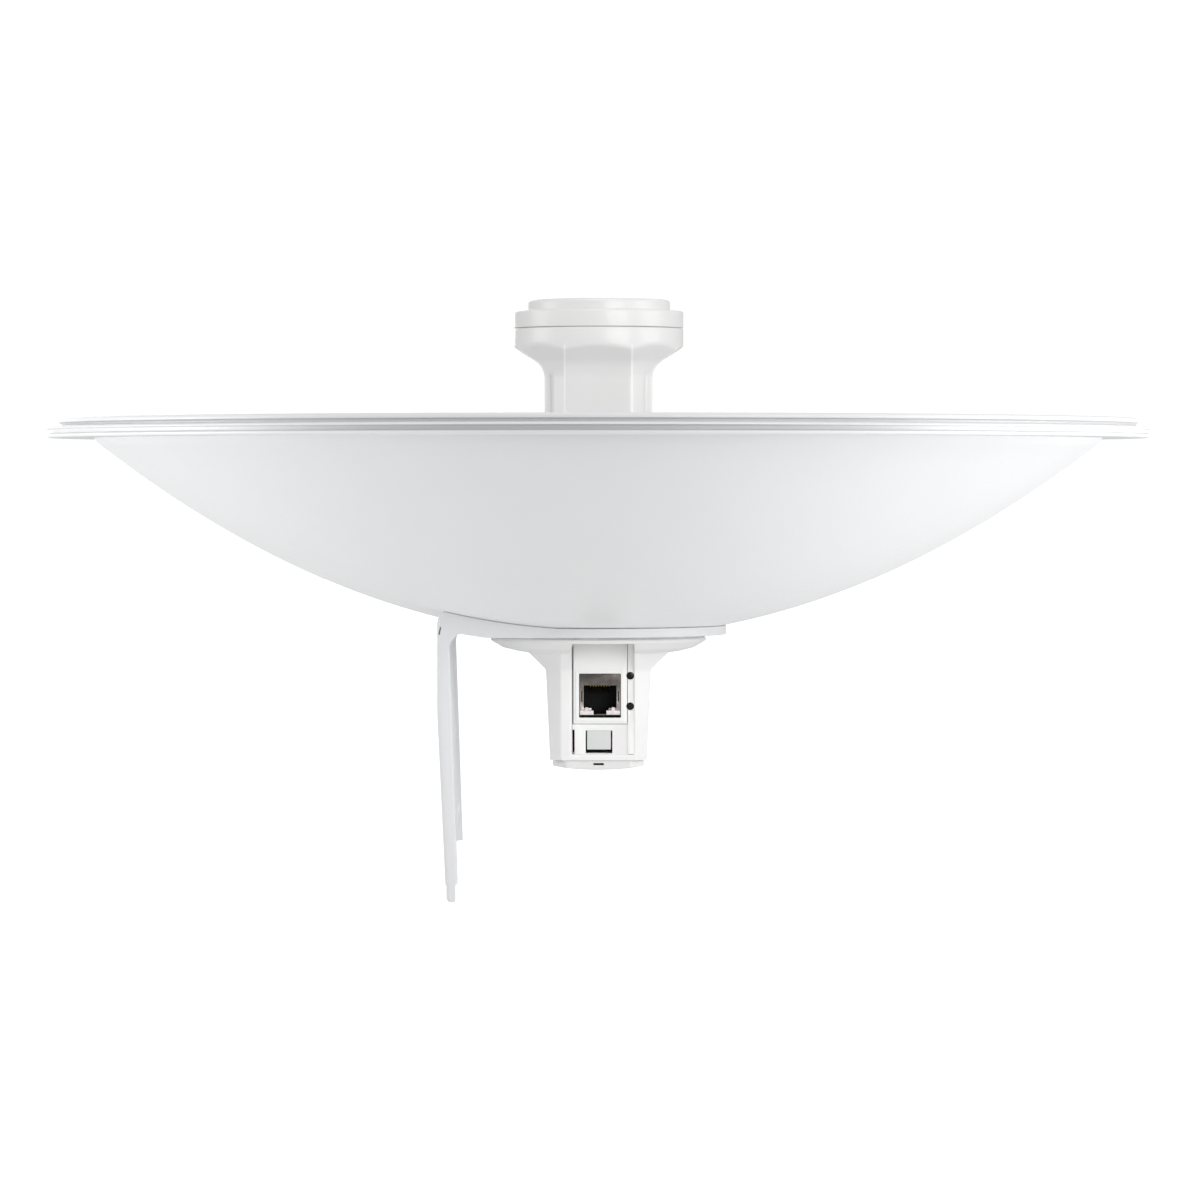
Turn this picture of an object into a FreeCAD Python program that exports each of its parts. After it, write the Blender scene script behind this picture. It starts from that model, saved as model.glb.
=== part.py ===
"""Outdoor wireless bridge: a deep dish with a feed on its axis, a bent arm and a rear radio housing.

Everything is modelled about the dish axis first: z runs along the beam, z = 0 is the virtual lowest
point of the paraboloid, -Y is the port side and the arm stands at -X. Each sub-part is then placed so
that the origin of the finished part is the centre of the pivot hole in the arm. Lengths are in mm.
"""
import FreeCAD, Part
import math
import os
import re

import Sketcher

V = FreeCAD.Vector
doc = FreeCAD.newDocument("wireless_bridge")
sheet = doc.addObject("Spreadsheet::Sheet", "Dims")

DIMENSIONS = (
    ("axis_x", 56.0), ("pivot_drop", 34.0),
    ("focal", 122.4), ("sheet_metal", 1.1), ("dish_flat", 42.6), ("bowl_edge", 193.0),
    ("rim_outer", 210.0), ("rim_mid", 80.3), ("rim_step", 205.6), ("rim_top", 83.5),
    ("bead_inner", 199.4), ("bead_round", 1.6), ("bead_drop", 4.6), ("dish_hole", 26.6),
    ("plate", 2.5), ("base_under", 1.2), ("base_disc", 49.0), ("arm_half", 46.0), ("slope_x", -42.6),
    ("bend_x", -52.4), ("bend_rise", 1.6), ("arm_top_x", -55.9), ("arm_top_z", -1.0),
    ("arm_end_x", -52.9), ("arm_end_z", -91.6), ("lip_x", -60.4), ("lip_end_x", -57.4),
    ("lip_knee_z", -27.0), ("lip_top", 12.0), ("far_end_z", -81.4), ("web_step_z", -75.6),
    ("tongue", 10.0), ("dish_gap", 0.4), ("pointer_end", -98.0),
    ("pivot_r", 4.2), ("slot_r", 4.2), ("slot_radius", 34.0), ("slot_sweep", 20.0),
    ("screw_ring", 33.0), ("screw_hole", 2.3), ("screw_r", 1.95), ("screw_head", 3.8),
    ("washer_r", 4.6), ("washer", 0.8), ("insert_r", 2.8), ("insert_depth", 3.8),
    ("collar_top", 0.3), ("collar_r", 41.2), ("seat_r", 24.4), ("seat_z", -4.5),
    ("gasket_in", 28.6), ("gasket_out", 40.6),
    ("body_flare", 26.0), ("body_waist", 19.9), ("body_low", 18.4), ("body_corner", 5.6),
    ("waist_z", -13.2), ("body_end", -46.3),
    ("cavity", 16.4), ("cavity_corner", 3.0), ("window_left", -10.1), ("window_right", 13.6),
    ("window_top", -1.3), ("window_foot", -44.1), ("window_back", 14.0),
    ("cap_half", 17.4), ("cap_end", -50.0), ("drain_left", -1.95), ("drain_right", 2.1),
    ("drain_low", -48.2), ("drain_high", -47.35),
    ("neck_half", 20.5), ("neck_facet", 12.6), ("neck_foot", -4.4), ("neck_bore", 18.5),
    ("bore_facet", 11.8), ("flare_z", 98.5), ("flare_r", 9.0), ("head_r", 32.5),
    ("head_split", 117.95), ("head_bore", 30.0), ("ledge_z", 112.5),
    ("seam", 0.3), ("cap_step_z", 124.7), ("cap_top", 129.0), ("cap_plate_r", 27.4),
    ("tail_half", 15.6), ("tail_back", 13.0), ("tail_corner", 1.9), ("tail_wall", 1.4),
    ("tail_top", 6.0), ("tail_end", -45.0),
    ("panel_left", -9.0), ("panel_right", 11.0), ("panel_top", -1.6), ("panel_foot", -32.3),
    ("panel_front", 19.0), ("sill_front", 18.0), ("sill_foot", -43.9), ("nub_low", -34.6),
    ("nub_high", -32.5),
    ("strip_left", 11.15), ("strip_right", 13.3), ("strip_top", -4.6), ("strip_front", 18.85),
    ("ports_clear", 25.0),
    ("jack_left", -7.2), ("jack_right", 8.4), ("jack_top", -13.4), ("jack_foot", -29.9),
    ("jack_front", 18.7), ("brow_foot", -7.9), ("jack_mid", 0.6), ("plug_half", 6.1), ("plug_top", -17.9),
    ("plug_step", -26.2), ("plug_foot", -29.4), ("notch_half", 3.1), ("plug_depth", 13.5),
    ("latch_mid", 0.2), ("latch_half", 4.5), ("latch_hinge", -34.9), ("latch_foot", -42.4),
    ("dot_x", 12.05), ("dot_r", 1.45), ("light_z", -14.1), ("reset_z", -25.7),
    ("board_front", 2.6), ("board", 1.6), ("board_half", 13.8), ("board_foot", -43.0), ("board_top", 111.8),
    ("board_screw_x", 10.6), ("board_screw_z", -8.0), ("boss_r", 2.2), ("radiator_ring", 26.0),
)
for row, (alias, value) in enumerate(DIMENSIONS, 1):
    sheet.set(f"A{row}", alias)
    sheet.set(f"B{row}", str(value))
    sheet.setAlias(f"B{row}", alias)
doc.recompute()

FUNCTIONS = ("sin", "cos", "sqrt")
nodes = []


def bound(text):
    """An expression in plain alias names, written as the document's expression engine wants it."""
    names = r"\b([a-z_]\w*)\b"
    return re.sub(names, lambda m: m[1] if m[1] in FUNCTIONS else f"Dims.{m[1]}", str(text))


def dim(text):
    """The value of an expression in plain alias names, in mm."""
    return float(sheet.evalExpression(bound(text)))


def place(item):
    """Move a finished sub-part from the dish axis to the part's own origin, and keep it as a node."""
    item.setExpression("Placement.Base.x", bound("axis_x"))
    item.setExpression("Placement.Base.z", bound("pivot_drop"))
    nodes.append(item)
    return item


def body(name):
    return place(doc.addObject("PartDesign::Body", name))


def rect(left, right, low, high):
    return [(left, low), (right, low), (right, high), (left, high)]


def octagon(half, facet):
    """Eight corners of a square of the given half width whose facets are cut to a half length."""
    return [(half, f"-({facet})"), (half, facet), (facet, half), (f"-({facet})", half),
            (f"-({half})", facet), (f"-({half})", f"-({facet})"), (f"-({facet})", f"-({half})"),
            (facet, f"-({half})")]


def circle(x, y, radius):
    return (x, y, radius)


def ring_spots(radius, count, start=45):
    """Places on a circle about the axis, as pairs of expressions."""
    turns = [start + i * 360 / count for i in range(count)]
    return [(f"{radius} * {math.cos(math.radians(a)):.9f}", f"{radius} * {math.sin(math.radians(a)):.9f}")
            for a in turns]


def hold(sketch, geometry, point, x, y):
    """Hold one point of a sketch at two distances from its origin."""
    for kind, text in (("DistanceX", x), ("DistanceY", y)):
        rule = sketch.addConstraint(Sketcher.Constraint(kind, -1, 1, geometry, point, dim(text)))
        sketch.setExpression(f"Constraints[{rule}]", bound(text))


def draw_loop(sketch, points):
    spots = [V(dim(x), dim(y), 0) for x, y in points]
    first = sketch.GeometryCount
    count = len(spots)
    for i in range(count):
        sketch.addGeometry(Part.LineSegment(spots[i], spots[(i + 1) % count]), False)
    for i in range(count):
        sketch.addConstraint(Sketcher.Constraint("Coincident", first + i, 2, first + (i + 1) % count, 1))
    for i, (x, y) in enumerate(points):
        hold(sketch, first + i, 1, x, y)


def draw_circle(sketch, x, y, radius):
    index = sketch.addGeometry(Part.Circle(V(dim(x), dim(y), 0), V(0, 0, 1), dim(radius)), False)
    hold(sketch, index, 3, x, y)
    rule = sketch.addConstraint(Sketcher.Constraint("Radius", index, dim(radius)))
    sketch.setExpression(f"Constraints[{rule}]", bound(radius))


def sketch_on(owner, name, role, start, loops):
    """A sketch of closed loops on one of a body's own planes, moved along the plane's normal."""
    sketch = owner.newObject("Sketcher::SketchObject", f"{owner.Name}_{name}_sketch")
    plane = next(f for f in owner.Origin.OriginFeatures if f.Role == role)
    sketch.AttachmentSupport = (plane, "")
    sketch.MapMode = "FlatFace"
    sketch.setExpression("AttachmentOffset.Base.z", bound(start))
    for loop in loops:
        if isinstance(loop, tuple):
            draw_circle(sketch, *loop)
        else:
            draw_loop(sketch, loop)
    return sketch


def solid_volume(owner):
    return owner.Shape.Volume if not owner.Shape.isNull() else 0.0


def feature(owner, kind, name, grows, **settings):
    """Add a feature to a body, and stop if it doesn't change the volume the way it should."""
    before = solid_volume(owner)
    item = owner.newObject(kind, f"{owner.Name}_{name}")
    for key, value in settings.items():
        if isinstance(value, str) and key in ("Length", "Radius", "Size"):
            item.setExpression(key, bound(value))
        else:
            setattr(item, key, value)
    doc.recompute()
    change = solid_volume(owner) - before
    if grows and change <= 0 or not grows and change >= 0:
        raise RuntimeError(f"{item.Name} changed the volume by {change:.3f}")
    return item


def pad(owner, name, role, start, length, *loops):
    """Raise loops along the plane's normal: +Z on XY_Plane, -Y on XZ_Plane, +X on YZ_Plane."""
    sketch = sketch_on(owner, name, role, start, loops)
    return feature(owner, "PartDesign::Pad", name, True, Profile=sketch, Length=length)


def pocket(owner, name, role, start, length, *loops):
    """Cut loops against the plane's normal: -Z on XY_Plane, +Y on XZ_Plane, -X on YZ_Plane."""
    sketch = sketch_on(owner, name, role, start, loops)
    return feature(owner, "PartDesign::Pocket", name, False, Profile=sketch, Length=length)


def revolve(owner, name, points, grows=True):
    """Turn a loop of (radius, z) points about the axis, to add or to cut."""
    sketch = sketch_on(owner, name, "XZ_Plane", "0", [points])
    kind = "PartDesign::Revolution" if grows else "PartDesign::Groove"
    return feature(owner, kind, name, grows, Profile=sketch, ReferenceAxis=(sketch, ["V_Axis"]), Angle=360)


def loft(owner, name, levels):
    """A ruled loft through (z, loop) levels."""
    sketches = [sketch_on(owner, f"{name}{i}", "XY_Plane", z, [loop]) for i, (z, loop) in enumerate(levels)]
    return feature(owner, "PartDesign::AdditiveLoft", name, True,
                   Profile=sketches[0], Sections=sketches[1:], Ruled=True)


def round_edges(owner, name, last, radius, wanted):
    """Fillet the edges of the last feature that a test on the edge picks."""
    picked = [f"Edge{i}" for i, edge in enumerate(last.Shape.Edges, 1) if wanted(edge)]
    return feature(owner, "PartDesign::Fillet", name, False, Base=(last, picked), Radius=radius)


def circle_edge(radius, z):
    """A test for a round edge about the axis, at a radius and a height."""
    def wanted(edge):
        curve = edge.Curve
        return (isinstance(curve, Part.Circle) and abs(curve.Radius - dim(radius)) < 0.01
                and abs(curve.Center.z - dim(z)) < 0.01)
    return wanted


# ---------------------------------------------------------------- dish, bracket and their fasteners

def dish_height(r):
    """Height of the paraboloid's back surface above its virtual lowest point."""
    return r * r / (4 * dim("focal"))


def parabola_edges(r_from, r_to, lift):
    """The dish's meridian between two radii, raised by lift, as short circular arcs."""
    count = 5
    step = (r_to - r_from) / count
    edges = []
    for i in range(count):
        radii = [r_from + (i + share) * step for share in (0, 0.5, 1)]
        edges.append(arc(*[(r, dish_height(r) + lift) for r in radii]))
    return edges


def line(r_from, z_from, r_to, z_to):
    return Part.makeLine(V(r_from, 0, z_from), V(r_to, 0, z_to))


def arc(start, middle, end):
    return Part.Arc(V(start[0], 0, start[1]), V(middle[0], 0, middle[1]), V(end[0], 0, end[1])).toShape()


def make_dish():
    """A pressed paraboloid with a flat centre and a rolled two-step rim, turned from its meridian."""
    t = dim("sheet_metal")
    flat = dim("dish_flat")
    floor = dish_height(flat)
    hole = dim("dish_hole")
    edge = dim("bowl_edge")
    outer, low, mid = dim("rim_outer"), dish_height(edge), dim("rim_mid")
    step, top, inner = dim("rim_step"), dim("rim_top"), dim("bead_inner")
    nose = (mid - low) / 2
    bead, foot = dim("bead_round"), top - dim("bead_drop")
    crest = math.sin(math.radians(45))
    outside = [
        line(hole, floor, flat, floor), *parabola_edges(flat, edge, 0),
        line(edge, low, outer - nose, low),
        arc((outer - nose, low), (outer, low + nose), (outer - nose, mid)),
        line(outer - nose, mid, step, mid), line(step, mid, step, top - bead),
        arc((step, top - bead), (step - bead + bead * crest, top - bead + bead * crest), (step - bead, top)),
        line(step - bead, top, inner, top),
    ]
    near = edge - 1.2
    roll = nose - t
    inside = [
        line(inner, top, inner, foot), line(inner, foot, inner + t, foot),
        line(inner + t, foot, inner + t, top - t), line(inner + t, top - t, step - bead, top - t),
        line(step - bead, top - t, step - t, top - bead), line(step - t, top - bead, step - t, mid - t),
        line(step - t, mid - t, outer - nose, mid - t),
        arc((outer - nose, mid - t), (outer - nose + roll, low + nose), (outer - nose, low + t)),
        line(outer - nose, low + t, near, low + t),
        line(near, low + t, near, dish_height(near) + t),
        *parabola_edges(flat, near, t), line(flat, floor + t, hole, floor + t),
        line(hole, floor + t, hole, floor),
    ]
    meridian = Part.Wire(Part.__sortEdges__(outside + inside))
    blank = Part.Face(meridian).revolve(V(0, 0, 0), V(0, 0, 1), 360)
    for x, y in ring_spots("screw_ring", 4):
        blank = blank.cut(Part.makeCylinder(dim("screw_hole"), 20, V(dim(x), dim(y), -5)))
    dish = doc.addObject("Part::Feature", "dish_reflector")
    dish.Shape = blank
    return place(dish)


def draw_arc_slot(sketch):
    """An arc slot about the pivot and below it: two long arcs joined by two tangent end rounds."""
    centre = V(0, dim("-pivot_drop"), 0)
    down = math.radians(270)
    turn = math.radians(dim("slot_sweep"))
    long_arcs = []
    for reach in (1, -1):
        radius = f"slot_radius + {reach} * slot_r"
        curve = Part.ArcOfCircle(Part.Circle(centre, V(0, 0, 1), dim(radius)), down - turn, down + turn)
        index = sketch.addGeometry(curve, False)
        hold(sketch, index, 3, "0", "-pivot_drop")
        rule = sketch.addConstraint(Sketcher.Constraint("Radius", index, dim(radius)))
        sketch.setExpression(f"Constraints[{rule}]", bound(radius))
        long_arcs.append(index)
    far, near = long_arcs
    for side, start in ((-1, down - turn - math.pi), (1, down + turn)):
        middle_x = f"{side} * slot_radius * sin(slot_sweep)"
        spot = V(dim(middle_x), dim("-pivot_drop - slot_radius * cos(slot_sweep)"), 0)
        curve = Part.ArcOfCircle(Part.Circle(spot, V(0, 0, 1), dim("slot_r")), start, start + math.pi)
        cap = sketch.addGeometry(curve, False)
        long_end = 1 if side < 0 else 2
        inner, outer = (1, 2) if side < 0 else (2, 1)
        sketch.addConstraint(Sketcher.Constraint("Tangent", cap, inner, near, long_end))
        sketch.addConstraint(Sketcher.Constraint("Tangent", cap, outer, far, long_end))
        rule = sketch.addConstraint(Sketcher.Constraint("DistanceX", -1, 1, cap, 3, dim(middle_x)))
        sketch.setExpression(f"Constraints[{rule}]", bound(middle_x))


def arm_face(z, shift="0"):
    """x of the arm's inner face at a height, plus a shift."""
    lean = "(arm_end_x - arm_top_x) / (arm_end_z - arm_top_z)"
    return f"arm_top_x + ({z} - arm_top_z) * {lean} + {shift}"


def make_bracket():
    """One folded plate: a round seat under the dish, a bend, and a flanged arm that leans inwards."""
    part = body("mount_bracket")
    top = "base_under + plate"
    strip = [
        ("-12", "base_under"), ("slope_x", "base_under"), ("bend_x", "base_under + bend_rise"),
        ("arm_top_x + 1", "base_under + bend_rise - 1"), ("arm_top_x", "arm_top_z"),
        ("arm_end_x", "arm_end_z"), ("arm_end_x - plate", "arm_end_z"),
        ("arm_top_x - plate", "arm_top_z"), ("arm_top_x - 1", f"{top} + bend_rise - 1.6"),
        ("bend_x - 1.2", f"{top} + bend_rise"), ("bend_x", f"{top} + bend_rise"), ("slope_x", top),
        ("-12", top),
    ]
    pad(part, "disc", "XY_Plane", "base_under", "plate", circle("0", "0", "base_disc"))
    pad(part, "strip", "XZ_Plane", "-arm_half", "2 * arm_half", strip)
    root = [("-10", "base_under"), ("slope_x", "base_under"), ("bend_x", "base_under + bend_rise"),
            ("arm_top_x + 1", "base_under + bend_rise - 1"), ("arm_top_x", "arm_top_z")]
    crown = [("lip_x", "lip_knee_z"), ("lip_x", "lip_top - 5.4"), ("lip_x + 0.9", "lip_top - 2.9"),
             ("lip_x + 3.2", "lip_top - 1.4"), ("bend_x + 8", "lip_top"), ("-10", "lip_top")]
    near = root + [("arm_end_x", "arm_end_z"), ("lip_end_x", "arm_end_z")] + crown
    far = root + [(arm_face("far_end_z"), "far_end_z"), ("lip_end_x - 0.4", "far_end_z")] + crown
    pad(part, "near_lip", "XZ_Plane", "arm_half - plate", "plate", near)
    pad(part, "far_lip", "XZ_Plane", "-arm_half", "plate", far)
    radii = (40, 46, 52, 58, 64, 70, 76)
    contour = [(str(r), f"{r * r} / (4 * focal) - dish_gap") for r in radii]
    revolve(part, "dish_contour", contour + [("76", "20"), ("40", "20")], grows=False)
    relief = [("tongue - arm_half", "arm_end_z - 1"), ("arm_half + 1", "arm_end_z - 1"),
              ("arm_half + 1", "far_end_z"), ("tongue - arm_half", "web_step_z")]
    pocket(part, "end_relief", "YZ_Plane", "0", "80", relief)
    pointer = [("arm_end_x - 1.1", "arm_end_z + 1"), ("arm_end_x - 1.1", "pointer_end + 1"),
               ("arm_end_x - 1.9", "pointer_end"), ("arm_end_x - 3.3", "pointer_end"),
               ("arm_end_x - 4.1", "pointer_end + 1"), ("arm_end_x - 4.1", "arm_end_z + 1")]
    pad(part, "pointer", "XZ_Plane", "arm_half - plate", "plate", pointer)
    pocket(part, "axis_hole", "XY_Plane", "10", "12", circle("0", "0", "dish_hole"))
    holes = [circle(x, y, "screw_hole") for x, y in ring_spots("screw_ring", 4)]
    pocket(part, "screw_holes", "XY_Plane", "10", "12", *holes)
    pocket(part, "pivot_hole", "YZ_Plane", "-40", "30", circle("0", "-pivot_drop", "pivot_r"))
    slot = sketch_on(part, "slot", "YZ_Plane", "-40", [])
    draw_arc_slot(slot)
    feature(part, "PartDesign::Pocket", "elevation_slot", False, Profile=slot, Length="30")
    return part


def make_dish_fasteners():
    """Four pan head screws with washers, and the threaded inserts in the housing that take them."""
    spots = ring_spots("screw_ring", 4)
    face = "dish_flat * dish_flat / (4 * focal) + sheet_metal"
    washers = body("dish_washers")
    pad(washers, "discs", "XY_Plane", face, "washer", *[circle(x, y, "washer_r") for x, y in spots])
    pocket(washers, "holes", "XY_Plane", f"{face} + 1", "3", *[circle(x, y, "screw_hole") for x, y in spots])
    screws = body("dish_screws")
    pad(screws, "shanks", "XY_Plane", "collar_top - 3.2", f"{face} + 1 - collar_top + 3.2",
        *[circle(x, y, "screw_r") for x, y in spots])
    heads = pad(screws, "heads", "XY_Plane", f"{face} + washer", "2.6",
                *[circle(x, y, "screw_head") for x, y in spots])
    round_edges(screws, "head_round", heads, "0.9",
                lambda e: isinstance(e.Curve, Part.Circle) and abs(e.Curve.Radius - dim("screw_head")) < 0.01
                and abs(e.Curve.Center.z - dim(f"{face} + 3.4")) < 0.01)
    for name, (long_half, short_half) in (("drive_x", (2.2, 0.45)), ("drive_y", (0.45, 2.2))):
        slots = [rect(f"{x} - {long_half}", f"{x} + {long_half}", f"{y} - {short_half}", f"{y} + {short_half}")
                 for x, y in spots]
        pocket(screws, name, "XY_Plane", f"{face} + 4", "2.2", *slots)
    inserts = body("threaded_inserts")
    pad(inserts, "sleeves", "XY_Plane", "collar_top - insert_depth + 0.3", "insert_depth - 0.3",
        *[circle(x, y, "insert_r") for x, y in spots])
    pocket(inserts, "bores", "XY_Plane", "collar_top + 1", "insert_depth + 2",
           *[circle(x, y, "screw_r + 0.03") for x, y in spots])


def make_seals():
    """The collar's flat gasket and the flanged grommet between the dish and the feed neck."""
    gasket = body("collar_gasket")
    pad(gasket, "ring", "XY_Plane", "collar_top", "base_under - collar_top",
        circle("0", "0", "gasket_out"), circle("0", "0", "gasket_in"))
    pocket(gasket, "holes", "XY_Plane", "5", "8",
           *[circle(x, y, "screw_hole") for x, y in ring_spots("screw_ring", 4)])
    grommet = body("neck_grommet")
    face = "dish_flat * dish_flat / (4 * focal) + sheet_metal"
    revolve(grommet, "ring", [("24.3", "base_under"), ("dish_hole - 0.1", "base_under"),
                              ("dish_hole - 0.1", face), ("27.8", face), ("27.2", f"{face} + 1.1"),
                              ("24.3", f"{face} + 1.4")])


# ---------------------------------------------------------------- rear housing

def make_rear_housing():
    """A saucer collar on a tapered eight-sided shell, with a window cut for the port panel."""
    part = body("rear_housing")
    revolve(part, "collar", [
        ("0", "collar_top"), ("collar_r - 0.6", "collar_top"), ("collar_r", "collar_top - 0.5"),
        ("collar_r", "collar_top - 1.2"), ("40.2", "-1.9"), ("36.6", "-3.8"), ("31.4", "-5.1"),
        ("26", "-6.1"), ("0", "-6.1")])
    facet = "body_waist - body_corner"
    loft(part, "shell", [("-6", octagon("body_flare", facet)), ("waist_z", octagon("body_waist", facet)),
                         ("body_end", octagon("body_low", "body_low - body_corner"))])
    pocket(part, "neck_seat", "XY_Plane", "collar_top + 1", "collar_top + 1 - seat_z",
           circle("0", "0", "seat_r"))
    pocket(part, "cavity", "XY_Plane", "collar_top + 1", "collar_top + 3 - body_end",
           octagon("cavity", "cavity - cavity_corner"))
    pocket(part, "window", "XZ_Plane", "45", "45 - window_back",
           rect("window_left", "window_right", "window_foot", "window_top"))
    pocket(part, "insert_holes", "XY_Plane", "collar_top + 1", "insert_depth + 1",
           *[circle(x, y, "insert_r") for x, y in ring_spots("screw_ring", 4)])


def make_end_cap():
    """A shallow cap that plugs the foot of the housing, with a small drain slot in its front."""
    part = body("rear_end_cap")
    pad(part, "plate", "XY_Plane", "cap_end", "body_end - cap_end", octagon("cap_half", "cap_half - 5.2"))
    last = pad(part, "plug", "XY_Plane", "body_end", "1", octagon("cavity - 0.1", "cavity - 0.1 - 3.06"))
    last = pocket(part, "drain", "XZ_Plane", "cap_half + 1", "3.4",
                  rect("drain_left", "drain_right", "drain_low", "drain_high"))
    round_edges(part, "foot_round", last, "0.8",
                lambda e: e.BoundBox.ZMax < dim("cap_end") + 0.01)


# ---------------------------------------------------------------- feed

def make_feed_housing():
    """An eight-sided neck whose facets sweep out into a round head."""
    part = body("feed_housing")
    levels = [("neck_foot", "neck_half"), ("flare_z", "neck_half")]
    for turn in (15, 30, 45, 58):
        levels.append((f"flare_z + flare_r * sin({turn})", f"neck_half + flare_r - flare_r * cos({turn})"))
    levels += [("113.2", "36"), ("head_split", "36")]
    loft(part, "neck", [(z, octagon(half, "neck_facet")) for z, half in levels])
    pocket(part, "head_round", "XY_Plane", "head_split + 1", "60",
           circle("0", "0", "60"), circle("0", "0", "head_r"))
    pocket(part, "neck_bore", "XY_Plane", "head_split + 1", "head_split + 2 - neck_foot",
           octagon("neck_bore", "bore_facet"))
    pocket(part, "head_bore", "XY_Plane", "head_split + 1", "head_split + 1 - ledge_z",
           circle("0", "0", "head_bore"))
    pocket(part, "panel_notch", "XZ_Plane", "25", "6.8",
           rect("window_left", "window_right", "neck_foot - 1", "window_top + 0.1"))
    pocket(part, "pilot_holes", "XY_Plane", "ledge_z + 1", "5",
           *[circle(x, y, "0.85") for x, y in ring_spots("radiator_ring", 4)])


def make_feed_cap():
    """A two-step cap with a lip that drops into the head."""
    part = body("feed_cap")
    foot = "head_split + seam"
    last = revolve(part, "shell", [
        ("29", "114.6"), ("29.8", "114.6"), ("29.8", foot), ("head_r", foot), ("head_r", "cap_step_z"),
        ("cap_plate_r", "cap_step_z"), ("cap_plate_r", "cap_top"), ("0", "cap_top"), ("0", "cap_top - 1.8"),
        ("25.2", "cap_top - 1.8"), ("25.2", "122.9"), ("29", "122.9")])
    last = round_edges(part, "shoulder", last, "0.7", circle_edge("head_r", "cap_step_z"))
    round_edges(part, "crown", last, "1.2", circle_edge("cap_plate_r", "cap_top"))
    seal = body("cap_seal")
    pad(seal, "ring", "XY_Plane", "head_split", "seam",
        circle("0", "0", "31.4"), circle("0", "0", "head_bore"))


def make_radiator():
    """The radiating board on the head's ledge, its screws, and the splash plate on its spacer."""
    spots = ring_spots("radiator_ring", 4)
    board = body("radiator_board")
    pad(board, "disc", "XY_Plane", "ledge_z", "1.2", circle("0", "0", "28.8"))
    pocket(board, "holes", "XY_Plane", "ledge_z + 3", "5",
           *[circle(x, y, "1.15") for x, y in spots],
           circle("-4", "0", "0.7"), circle("4", "0", "0.7"))
    screws = body("radiator_screws")
    pad(screws, "shanks", "XY_Plane", "ledge_z - 3", "4.3", *[circle(x, y, "0.82") for x, y in spots])
    pad(screws, "heads", "XY_Plane", "ledge_z + 1.2", "0.65", *[circle(x, y, "1.8") for x, y in spots])
    spacer = body("feed_spacer")
    revolve(spacer, "tube", [("8", "ledge_z + 1.2"), ("11", "ledge_z + 1.2"), ("11", "ledge_z + 2.4"),
                             ("9.6", "ledge_z + 2.4"), ("9.6", "124.4"), ("12", "125.4"), ("12", "125.6"),
                             ("8", "125.6")])
    plate = body("subreflector")
    revolve(plate, "plate", [("0", "122.6"), ("7", "125.6"), ("24.8", "125.6"), ("24.8", "126.6"),
                             ("0", "126.6")])
    pins = body("feed_pins")
    pad(pins, "rods", "XY_Plane", "106", "8.4", circle("-4", "0", "0.5"), circle("4", "0", "0.5"))


def tail_outline(inset):
    """The tail's section, drawn inwards by an inset."""
    half = f"(tail_half - {inset})"
    back = f"(tail_back - {inset})"
    corner = f"(tail_corner - {inset} * 0.3)"
    return [(f"-({half} - {corner})", f"-{half}"), (f"{half} - {corner}", f"-{half}"),
            (half, f"-({half} - {corner})"), (half, f"{back} - {corner}"), (f"{half} - {corner}", back),
            (f"-({half} - {corner})", back), (f"-{half}", f"{back} - {corner}"),
            (f"-{half}", f"-({half} - {corner})")]


def board_screw_circles(radius):
    """Circles at the two places where screws hold the main board."""
    return [circle(x, "board_screw_z", radius) for x in ("-board_screw_x", "board_screw_x")]


def make_feed_tail():
    """The carrier below the neck: a closed tube with the raised port panel on its front."""
    part = body("feed_tail")
    pad(part, "tube", "XY_Plane", "tail_end", "tail_top - tail_end", tail_outline("0"))
    pocket(part, "inside", "XY_Plane", "tail_top + 1", "tail_top + 1 - tail_end - tail_wall",
           tail_outline("tail_wall"))
    pad(part, "panel", "XZ_Plane", "tail_half - 0.2", "panel_front - tail_half + 0.2",
        rect("panel_left", "panel_right", "panel_foot", "panel_top"))
    pad(part, "sill", "XZ_Plane", "tail_half - 0.2", "sill_front - tail_half + 0.2",
        rect("panel_left", "panel_right - 0.4", "sill_foot", "panel_foot + 0.2"))
    pad(part, "brow", "XZ_Plane", "tail_half - 0.2", "1.9",
        rect("panel_left - 0.9", "dot_x + 0.8", "brow_foot", "panel_top"))
    pad(part, "nub", "XZ_Plane", "tail_half - 0.2", "sill_front - tail_half + 0.2",
        rect("panel_left - 0.9", "panel_left + 0.2", "nub_low", "nub_high"))
    pad(part, "dot_strip", "XZ_Plane", "tail_half - 0.2", "strip_front - tail_half + 0.2",
        rect("strip_left", "strip_right", "sill_foot", "strip_top"))
    pocket(part, "jack_opening", "XZ_Plane", "ports_clear", "ports_clear - tail_half + 3",
           rect("jack_left - 0.15", "jack_right + 0.15", "jack_foot - 0.15", "jack_top + 0.15"))
    pocket(part, "latch_opening", "XZ_Plane", "ports_clear", "ports_clear - tail_half + 3",
           rect("latch_mid - latch_half - 0.8", "latch_mid + latch_half + 0.8", "latch_foot - 1",
                "latch_hinge + 0.65"))
    pocket(part, "dot_holes", "XZ_Plane", "ports_clear", "ports_clear - tail_half + 3",
           circle("dot_x", "light_z", "dot_r + 0.15"), circle("dot_x", "reset_z", "dot_r + 0.15"))
    back_wall = "tail_back - tail_wall + 0.1"
    pad(part, "bosses", "XZ_Plane", f"-({back_wall})", f"{back_wall} + board_front - board",
        *board_screw_circles("boss_r"))
    pocket(part, "boss_holes", "XZ_Plane", "board_front - board + 1", "6", *board_screw_circles("0.95"))


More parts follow.
